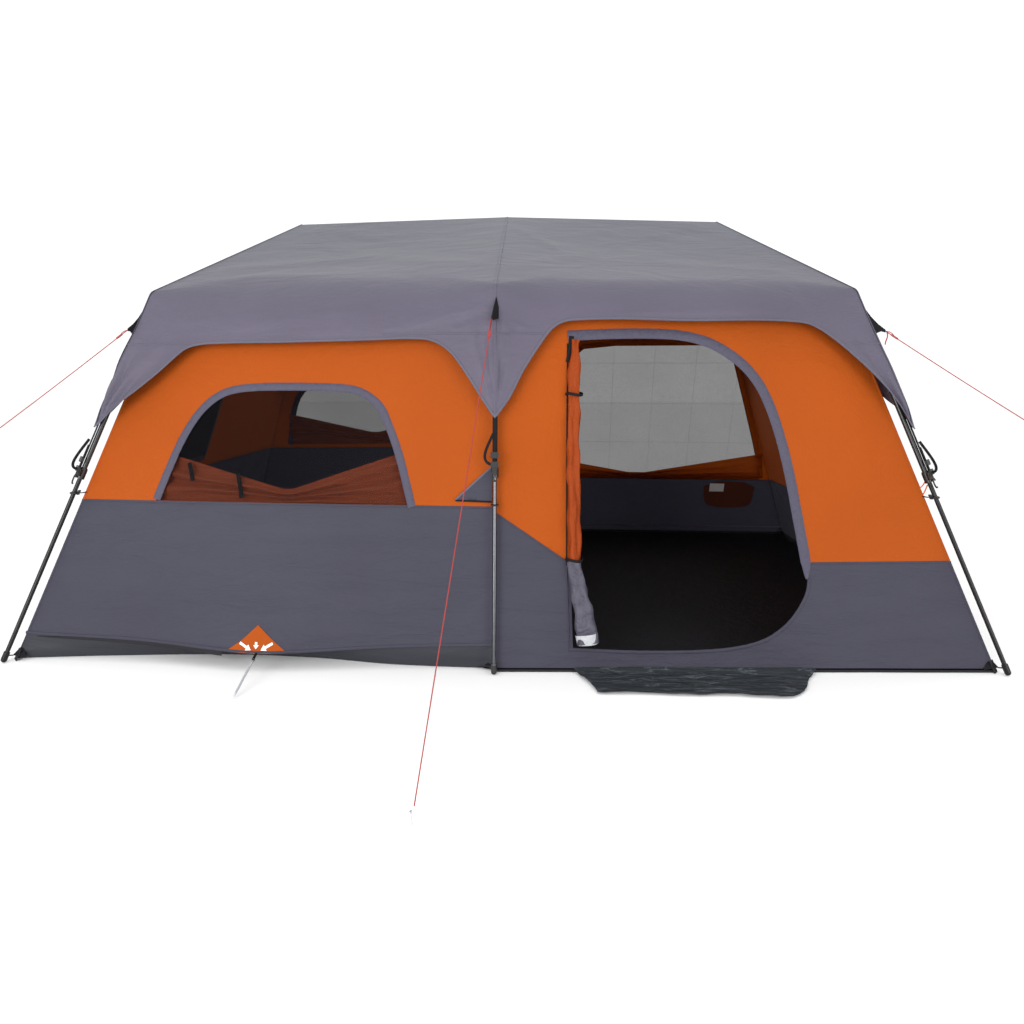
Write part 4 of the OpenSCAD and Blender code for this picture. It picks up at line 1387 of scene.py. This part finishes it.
def mat_at(x, y):
    down = smooth((-1.452 - y) / 0.05)
    crinkle = 0.0055 * (1 + ripple(91, x * 5.0 + y * 3, y * 34.0)) * down
    crinkle += 0.003 * (1 + ripple(93, x * 22.0, y * 26.0)) * down
    sill = 0.020 * (1 - down)
    return Vector((x, y, 0.0015 + crinkle + sill))


def make_mat():
    outline = rounded(flat(MAT_OUTLINE), True, 1)
    mat = filled_object("door_mat_sheet", outline, [], 0.011, mat_at, MAT_CLOTH)
    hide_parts("door_mat")
    declare_cloth(mat)
    with_front(mat)


# ---- Fittings of the frame: better finishes for the CAD parts ----
BLACK = (0.006, 0.006, 0.007)
FOOT_CAP_Z = 0.043


def tube_material(name, colour, metal, gloss):
    """Tube finish that turns to black rubber at the foot."""
    material, tree, place = new_material(name)
    parts = node(tree, "ShaderNodeSeparateXYZ", Vector=place.outputs["Object"])
    is_tube = math_node(tree, "GREATER_THAN", parts.outputs["Z"], FOOT_CAP_Z)
    scratches = spots_of(tree, place, 30.0, 6.0)
    worn = mix_colour(tree, scratches, shade(colour, 0.8), shade(colour, 1.2))
    body = node(
        tree, "ShaderNodeBsdfPrincipled",
        Base_Color=mix_colour(tree, is_tube, shade(BLACK, 1.0), worn),
        Metallic=times(tree, is_tube, metal), Roughness=plus(tree, 0.16, times(tree, scratches, 0.12)),
        Specular_IOR_Level=gloss,
    )
    set_surface(tree, body)
    return material


LEG_FINISH = tube_material("leg_gunmetal", (0.085, 0.087, 0.094), metal=1.0, gloss=0.5)
# The corner legs' lower tubes are the centre legs' gunmetal tube, painted near black and dull as shade for
# the broad highlight they lack.
CORNER_LEG_SHADED = tube_material("leg_gunmetal_painted_shade", (0.009, 0.009, 0.010), metal=0.0, gloss=0.22)
CAD_FINISHES = {
    "crown_hub": HARD_BLACK, "side_hub": HARD_BLACK, "ridge": TUBE_BLACK, "arm": TUBE_BLACK,
    "leg_upper": TUBE_BLACK, "leg_lower": LEG_FINISH, "button": HARD_BLACK, "guy_peg": STEEL,
}


def paint_cad_nodes():
    for name, item in frame["nodes"].items():
        for start, finish in CAD_FINISHES.items():
            if name.startswith(start):
                # Corner lower legs get the painted-shade copy of the same tube finish.
                if finish is LEG_FINISH and name[-1] != "c":
                    finish = CORNER_LEG_SHADED
                for index in range(len(item.data.materials)):
                    item.data.materials[index] = finish


# ---- Guy lines ----
GUY_D = 0.004
GUY_STEPS = 16
GUY_TIPS = {
    "fl": (-1.687, -1.100, 1.468), "fr": (1.712, -1.100, 1.456), "fc": (-0.0111, -1.351, 1.4958),
}
PEG_R = 0.005
THIN_CORD_R = 0.0018
LOOSE_CORD_R = 0.0028


def guy_route(start, end, sag):
    shares = [i / GUY_STEPS for i in range(GUY_STEPS + 1)]
    return [lerp(Vector(start), Vector(end), k) - UP * 4 * sag * k * (1 - k) for k in shares]


def make_guys():
    """The three guy lines, with their runners, and a knot loop where the view cuts one off."""
    guys = [
        ("left", GUY_TIPS["fl"], (-2.322, -1.215, 0.986), 0.003, "leg_upper_fl"),
        ("right", GUY_TIPS["fr"], (2.346, -1.215, 1.040), 0.003, "leg_upper_fr"),
        ("front", GUY_TIPS["fc"], (-0.171, -2.565, 0.040), 0.0, "leg_upper_fc"),
    ]
    for name, start, end, sag, body in guys:
        route = guy_route(start, end, sag)
        line = tube_object(f"guy_{name}_line", route, GUY_D / 2, CORD_RED)
        along = (route[1] - route[0]).normalized()
        across = along.cross(UP).normalized()
        lift = across.cross(along)
        slide_at = lerp(route[0], route[-1], 0.045 if name == "front" else 0.06)
        outline = [(-0.014, -0.006), (0.014, -0.006), (0.017, 0.0), (0.014, 0.006), (-0.014, 0.006),
                   (-0.017, 0.0)]
        slider = slab_object(
            f"guy_{name}_slider", outline,
            lambda x, y, out: slide_at + along * x + across * y + lift * (out - 0.003), 0.006, CORD_RED,
        )
        doubled = [p + lift * 0.006 * math.sin(math.pi * i / 8) + across * 0.003
                   for i, p in enumerate(between(route[0], slide_at, 8))]
        extras = [slider, tube_object(f"guy_{name}_doubled", doubled, THIN_CORD_R, CORD_RED)]
        if name != "front":
            ring = circle(route[-1] + along * 0.018, along * 0.016, lift * 0.024, 20)
            extras.append(
                tube_object(f"guy_{name}_end_loop", ring, THIN_CORD_R, CORD_RED, caps=False)
            )
        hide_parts(f"guy_{name}")
        fold = Fold(body, (Vector(end) - Vector(start)).normalized(), start)
        for piece in [line] + extras:
            fold(piece)
    tail_top = Vector(GUY_TIPS["fr"]) + Vector((0.006, 0.0, -0.003))
    tail = [tail_top + Vector((0.004 * math.sin(k * 5), -0.003 * k, -0.055 * k))
            for k in between(0.0, 1.0, 6)]
    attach(tube_object("guy_right_tail", tail, LOOSE_CORD_R, CORD_RED), "leg_upper_fr")


# ---- Straps, clips and tabs on the legs ----
STRAP_W = 0.018
CORNER_CLIP_Z = 0.739
CENTRE_CLIP_Z = 0.721
CORNER_COLLAR_Z, CENTRE_COLLAR_Z = 0.825, 0.868


def leg_path(leg, z0, z1, out):
    """The line beside a leg from z0 to z1, out metres off its middle."""
    return [leg.at(z) + leg.outward().normalized() * out for z in between(z0, z1, 14)]


def strip_along(name, path, normal, width, material, body, height=0.002):
    piece = strip_object(name, path, [normal.normalized()] * len(path), width, material, height=height)
    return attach(piece, body)


def block_on(name, middle, across, up, out, size, body):
    """A small moulded block with cut corners."""
    w, h, d = size[0] / 2, size[1] / 2, size[2]
    c = 0.3 * min(w, h)
    outline = [(-w + c, -h), (w - c, -h), (w, -h + c), (w, h - c), (w - c, h), (-w + c, h), (-w, h - c),
               (-w, -h + c)]
    piece = slab_object(
        name, outline, lambda x, y, lift: middle + across * x + up * y + out * (lift - d / 2), d,
        HARD_BLACK,
    )
    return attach(piece, body)


def make_leg_fittings(key):
    """Strap, buckles, hook and tail from the fly's tip to the collar, and the clips below it."""
    leg = LEGS[key]
    body = leg.body
    out = leg.outward().normalized()
    across = leg.up.cross(out).normalized()
    face = across.cross(leg.up).normalized()
    strap_top = (CORNER_TIP_Z if leg.side else CENTRE_TIP_Z) + 0.035
    strap_low = (CORNER_COLLAR_Z if leg.side else CENTRE_COLLAR_Z) + 0.030
    strap = leg_path(leg, strap_top, strap_low, 0.019)
    strip_along(f"tip_strap_{key}", strap, face, STRAP_W, WEBBING, body)
    under = leg_path(leg, strap_low + 0.10, strap_low - 0.01, 0.024)
    strip_along(f"tip_strap_under_{key}", under, face, STRAP_W * 0.8, WEBBING, body)
    for number, z in enumerate((strap_low + 0.035, strap_low - 0.005)):
        block_on(f"tip_buckle_{number}_{key}", leg.at(z) + out * 0.027, across, leg.up, face,
                 (0.034, 0.026, 0.010), body)
    middle = leg.at(strap_low - 0.052) + out * 0.024
    turns = between(0.15 * math.pi, 1.65 * math.pi, 14)
    hook = [middle + across * 0.013 * math.cos(a) + leg.up * 0.022 * math.sin(a) for a in turns]
    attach(tube_object(f"tip_hook_{key}", hook, 0.0034, HARD_BLACK, sides=10), body)
    bulge, facing = (out, across) if leg.side else (Vector((-1, 0, 0)), out)
    loop = []
    for k in between(0.0, 1.0, 22):
        swing = math.sin(math.pi * k ** 1.3) ** 0.8
        loop.append(leg.at(lerp(strap_low + 0.125, strap_low - 0.005, k)) + out * 0.024
                    + bulge * (0.006 + 0.036 * swing) - UP * 0.020 * swing)
    strip_along(f"tip_tail_{key}", loop, facing, 0.012, WEBBING, body, height=0.0015)
    make_ring_clip(key, leg, out, across)
    make_foot_tab(key, leg, out, across)


RING_R = 0.0135


def make_ring_clip(key, leg, out, across):
    """Clip that holds the wall to the leg, with its webbing, and on the right two elastics."""
    z = CORNER_CLIP_Z if leg.side else CENTRE_CLIP_Z
    middle = leg.at(z)
    ring = circle(middle, out * RING_R, across * RING_R, 24)
    clip = tube_object(f"ring_clip_{key}", ring, 0.0042, HARD_BLACK, sides=10, caps=False)
    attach(clip, leg.body)
    wall = leg.wall(z) - out * 0.004
    tab = hanging(middle - out * 0.015, wall, 5, 0.003)
    strip_along(f"clip_tab_{key}", tab, UP, 0.018, WEBBING, leg.body)
    block_on(f"clip_body_{key}", middle - out * 0.019, across, leg.up, out, (0.016, 0.022, 0.010),
             leg.body)
    if leg.side <= 0:
        return
    for number, drop in enumerate((0.0, 0.030)):
        start = leg.wall(z + 0.035 - drop) - out * 0.002
        end = leg.at(z + 0.070 - drop * 0.6) - out * 0.012
        elastic = tube_object(
            f"elastic_{number}_{key}", hanging(start, end, 6, 0.006), LOOSE_CORD_R, ELASTIC
        )
        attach(elastic, leg.body)


def make_foot_tab(key, leg, out, across):
    """Webbing triangle at the floor's corner, with the cord that reaches the foot."""
    corner = leg.wall(0.012) - out * 0.03
    toe = leg.at(0.030) - out * 0.012
    points = [corner + across * 0.045 + UP * 0.004, corner - across * 0.045 + UP * 0.004,
              lerp(corner, toe, 0.75), corner + UP * 0.052]
    faces = [(0, 1, 2), (0, 2, 3), (1, 3, 2)]
    uvs = [(0.0, 0.0), (0.09, 0.0), (0.045, 0.06), (0.045, 0.05)]
    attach(build(f"foot_tab_{key}", points, faces, uvs, WEBBING, False), leg.body)
    cord = between(lerp(corner, toe, 0.7), toe + out * 0.010, 6)
    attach(tube_object(f"foot_cord_{key}", cord, 0.0030, HARD_BLACK), leg.body)


def fly_level(z, from_column, to_column):
    """Points along the fly where it is at height z, with the normals there."""
    path, normals = [], []
    count = FLY_GRID.shape[1]
    for column in range(from_column, to_column + 1):
        c = column % count
        heights = FLY_GRID[EAVE_ROW:, c, 2]
        rows = [r for r in range(len(heights) - 1) if heights[r] >= z > heights[r + 1]]
        if not rows:
            continue
        r = rows[0]
        k = (heights[r] - z) / (heights[r] - heights[r + 1])
        point = lerp(FLY_GRID[EAVE_ROW + r, c], FLY_GRID[EAVE_ROW + r + 1, c], k)
        normal = FLY_NORMALS[EAVE_ROW + r, c]
        path.append(Vector(point + normal * FLY_LIFT))
        normals.append(Vector(normal))
    return path, normals


DROP_SEAM_Z, DROP_SEAM_CORNER_Z = 1.440, 1.405
# What the cloth before and after each leg, going round from the front left, folds with
BESIDE_LEG = {
    "fl": (with_leg("fl"), with_front), "fc": (with_front, with_front), "fr": (with_front, with_leg("fr")),
    "br": (with_leg("br"), with_back), "bc": (with_back, with_back), "bl": (with_back, with_leg("bl")),
}


def make_fly_details():
    """Drop seams across the tips, and the tabs that the guy lines leave from."""
    reach = round(SPAN_COLUMNS * 0.34)
    for key, column in ARM_COLUMN.items():
        z = DROP_SEAM_CORNER_Z if LEGS[key].side else DROP_SEAM_Z
        spans = (("before", column - reach, column), ("after", column, column + reach))
        for (side, a, b), fold in zip(spans, BESIDE_LEG[key]):
            path, normals = fly_level(z, a, b)
            if len(path) > 2:
                fold(strip_object(f"drop_seam_{side}_{key}", path, normals, 0.009, FLY_CLOTH,
                                  height=0.0015))
    make_corner_tab("fl")
    make_corner_tab("fr")
    make_centre_tab()


def plate(name, outline, face, material, thick=0.003):
    """A flat piece of webbing with the given corners."""
    count = len(outline)
    points = [p + face * thick / 2 for p in outline] + [p - face * thick / 2 for p in outline]
    faces = [tuple(range(count)), tuple(reversed(range(count, 2 * count)))]
    faces += [(i, count + i, count + (i + 1) % count, (i + 1) % count) for i in range(count)]
    return build(name, points, faces, [(p.z, p.x) for p in points], material, False)


def make_corner_tab(key):
    """Black webbing triangle at the fly's front corner, that the guy line is tied to."""
    leg = LEGS[key]
    tip = Vector(GUY_TIPS[key])
    top, low = leg.skirt(1.562), leg.skirt(1.446)
    face = (tip - top).cross(low - top).normalized()
    outline = [top, lerp(top, low, 0.5), low, lerp(low, tip, 0.55) + UP * 0.004, tip - UP * 0.006,
               tip + UP * 0.006, lerp(top, tip, 0.66) - UP * 0.004, lerp(top, tip, 0.33) - UP * 0.006]
    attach(plate(f"guy_tab_{key}", outline, face, WEBBING), leg.body)


def make_centre_tab():
    """Dark folded tab on the fly's front centre, where the front guy line leaves."""
    leg = LEGS["fc"]
    tip = Vector(GUY_TIPS["fc"])
    top = leg.skirt(1.590) + Vector((0.004, -0.003, 0))
    low = leg.skirt(1.500) + Vector((0.002, -0.003, 0))
    for number, side in enumerate((-1.0, 1.0)):
        spread = Vector((side * 0.011, 0.002, 0))
        outline = [top, lerp(top, low, 0.5) + spread, low + spread, tip + Vector((side * 0.004, 0, -0.006)),
                   tip + UP * 0.008]
        face = (outline[1] - top).cross(tip - top).normalized()
        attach(plate(f"centre_tab_{number}", outline, face, WEBBING, 0.002), leg.body)


# ---- Small pieces on the walls ----
ARROW_HALF = 0.005      # half the width of an arrow's shaft


def make_vent_patch():
    """Orange triangle where the peg pulls the wall's foot out, with three printed arrows."""
    outline = [(-1.170, 0.086), (-1.10, 0.1325), (-1.030, 0.196), (-0.965, 0.140), (-0.898, 0.086),
               (-0.96, 0.0825), (-1.03, 0.080), (-1.10, 0.082)]
    cloth_on("vent_patch", lambda s, z: low_front(s, z, 0.003), outline, ORANGE_CLOTH, with_front,
             step=0.014, held=None)
    arrows = [(0.036, 0.058, 0.014, (-1.105, 0.124), -30), (0.012, 0.028, 0.012, (-1.032, 0.128), -90),
              (0.036, 0.058, 0.014, (-0.960, 0.124), -150)]
    for number, (neck, tip, wing, at, turn) in enumerate(arrows):
        shape = [(0, ARROW_HALF), (neck, ARROW_HALF), (neck, wing), (tip, 0), (neck, -wing),
                 (neck, -ARROW_HALF), (0, -ARROW_HALF)]
        cos, sin = math.cos(math.radians(turn)), math.sin(math.radians(turn))
        moved = [(at[0] + x * cos - y * sin, at[1] + x * sin + y * cos) for x, y in shape]
        cloth_on(f"vent_arrow_{number}", lambda s, z: low_front(s, z, 0.0045), moved, ARROW_PRINT,
                 with_front, step=0.010, held=None)


def make_vent_peg():
    """Slim steel peg in a short webbing loop at the foot of the vent patch."""
    top, low = Vector((-1.027, -1.548, 0.072)), Vector((-1.021, -1.792, 0.006))
    rod = tube_object("vent_peg_rod", between(top, low, 8),
                      lambda k: PEG_R if k < 0.99 else PEG_R * 0.5, STEEL, sides=16)
    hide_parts("vent_peg")
    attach(rod, "tent")
    start = low_front(-1.03, 0.083, 0.002)
    path = between(start, top + Vector((0, -0.012, 0)), 6)
    facing = Vector((0, -0.3, 1)).normalized()
    with_front(strip_object("vent_peg_loop", path, [facing] * len(path), 0.012, WEBBING))
    eye = circle(top, Vector((0, 0.012, 0)), Vector((0, 0, 0.009)), 16)
    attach(tube_object("vent_peg_eye", eye, 0.0022, WEBBING, caps=False), "tent")


def make_cable_flap():
    """Small grey flap beside the centre leg that covers the cable opening."""
    outline = [(-0.014, 0.878), (-0.066, 0.832), (-0.122, 0.781), (-0.172, 0.736), (-0.014, 0.732)]
    cloth_on("cable_flap", lambda s, z: FRONT.at(s, z, 0.008), outline, GREY_CLOTH, with_front,
             step=0.014, held=None)
    seam_on("cable_flap_edge", FRONT, outline[:4], with_front, width=0.008, material=PIPING_CLOTH,
            lift=0.009)
    seam_on("cable_zip", FRONT, [(-0.172, 0.733), (-0.014, 0.729)], with_front, width=0.008,
            material=WEBBING, lift=0.009)


def make_pocket():
    """Storage pocket on the back wall with its care label."""
    outline = rounded(flat([(1.500, 0.440), (1.890, 0.440), (1.885, 0.275), (1.850, 0.228),
                            (1.560, 0.225), (1.508, 0.280)]), True, 1)

    def pocket_at(s, z):
        return BACK.at(s, z) - BACK.out * (0.010 + 0.022 * math.sin(math.pi * (s - 1.50) / 0.39))

    cloth_on("pocket_cloth", pocket_at, outline, POCKET_CLOTH, with_back, ("storage_pocket",),
             step=0.03, held=None)
    cloth_on(
        "pocket_label", lambda s, z: BACK.at(s, z) - BACK.out * 0.040,
        [(1.540, 0.425), (1.650, 0.425), (1.650, 0.360), (1.540, 0.360)], LABEL_CLOTH, with_back,
        step=0.03, held=None,
    )


make_front_wall()
make_front_window()
make_door()
make_back_wall()
make_side_walls()
make_floor()
make_mat()
make_guys()
for leg_key in LEGS:
    make_leg_fittings(leg_key)
make_fly_details()
make_vent_patch()
make_vent_peg()
make_cable_flap()
make_pocket()
paint_cad_nodes()

# ---- Light, floor and world ----
FLOOR_COLOUR = (0.92, 0.92, 0.92)
WORLD_STRENGTH = 1.12
FLOOR_HALF = 30.0


def make_stage():
    bpy.context.scene.view_settings.view_transform = "Standard"
    world = bpy.data.worlds.new("studio")
    bpy.context.scene.world = world
    world.use_nodes = True
    background = world.node_tree.nodes["Background"]
    background.inputs["Color"].default_value = (1.0, 1.0, 1.0, 1.0)
    background.inputs["Strength"].default_value = WORLD_STRENGTH
    floor_material = plain_material("studio_floor", FLOOR_COLOUR, rough=0.9, wear=0.01, bump_strength=0.0)
    corners = [(x * FLOOR_HALF, y * FLOOR_HALF, -0.001) for x, y in ((-1, -1), (1, -1), (1, 1), (-1, 1))]
    floor = build("studio_floor", corners, [(0, 1, 2, 3)], None, floor_material, False)
    lights = [
        ("key", (-3.0, -7.0, 2.0), 330.0, 3.4),
        ("fill", (4.5, -6.5, 1.8), 190.0, 3.4),
        ("top", (0.0, 0.0, 7.0), 20.0, 5.0),
    ]
    for name, place, power, size in lights:
        data = bpy.data.lights.new(name, "AREA")
        data.energy = power
        data.size = size
        lamp = bpy.data.objects.new(name, data)
        lamp.location = place
        toward = Vector((0, 0, 1.0)) - Vector(place)
        lamp.rotation_euler = toward.to_track_quat("-Z", "Y").to_euler()
        bpy.context.scene.collection.objects.link(lamp)


make_stage()
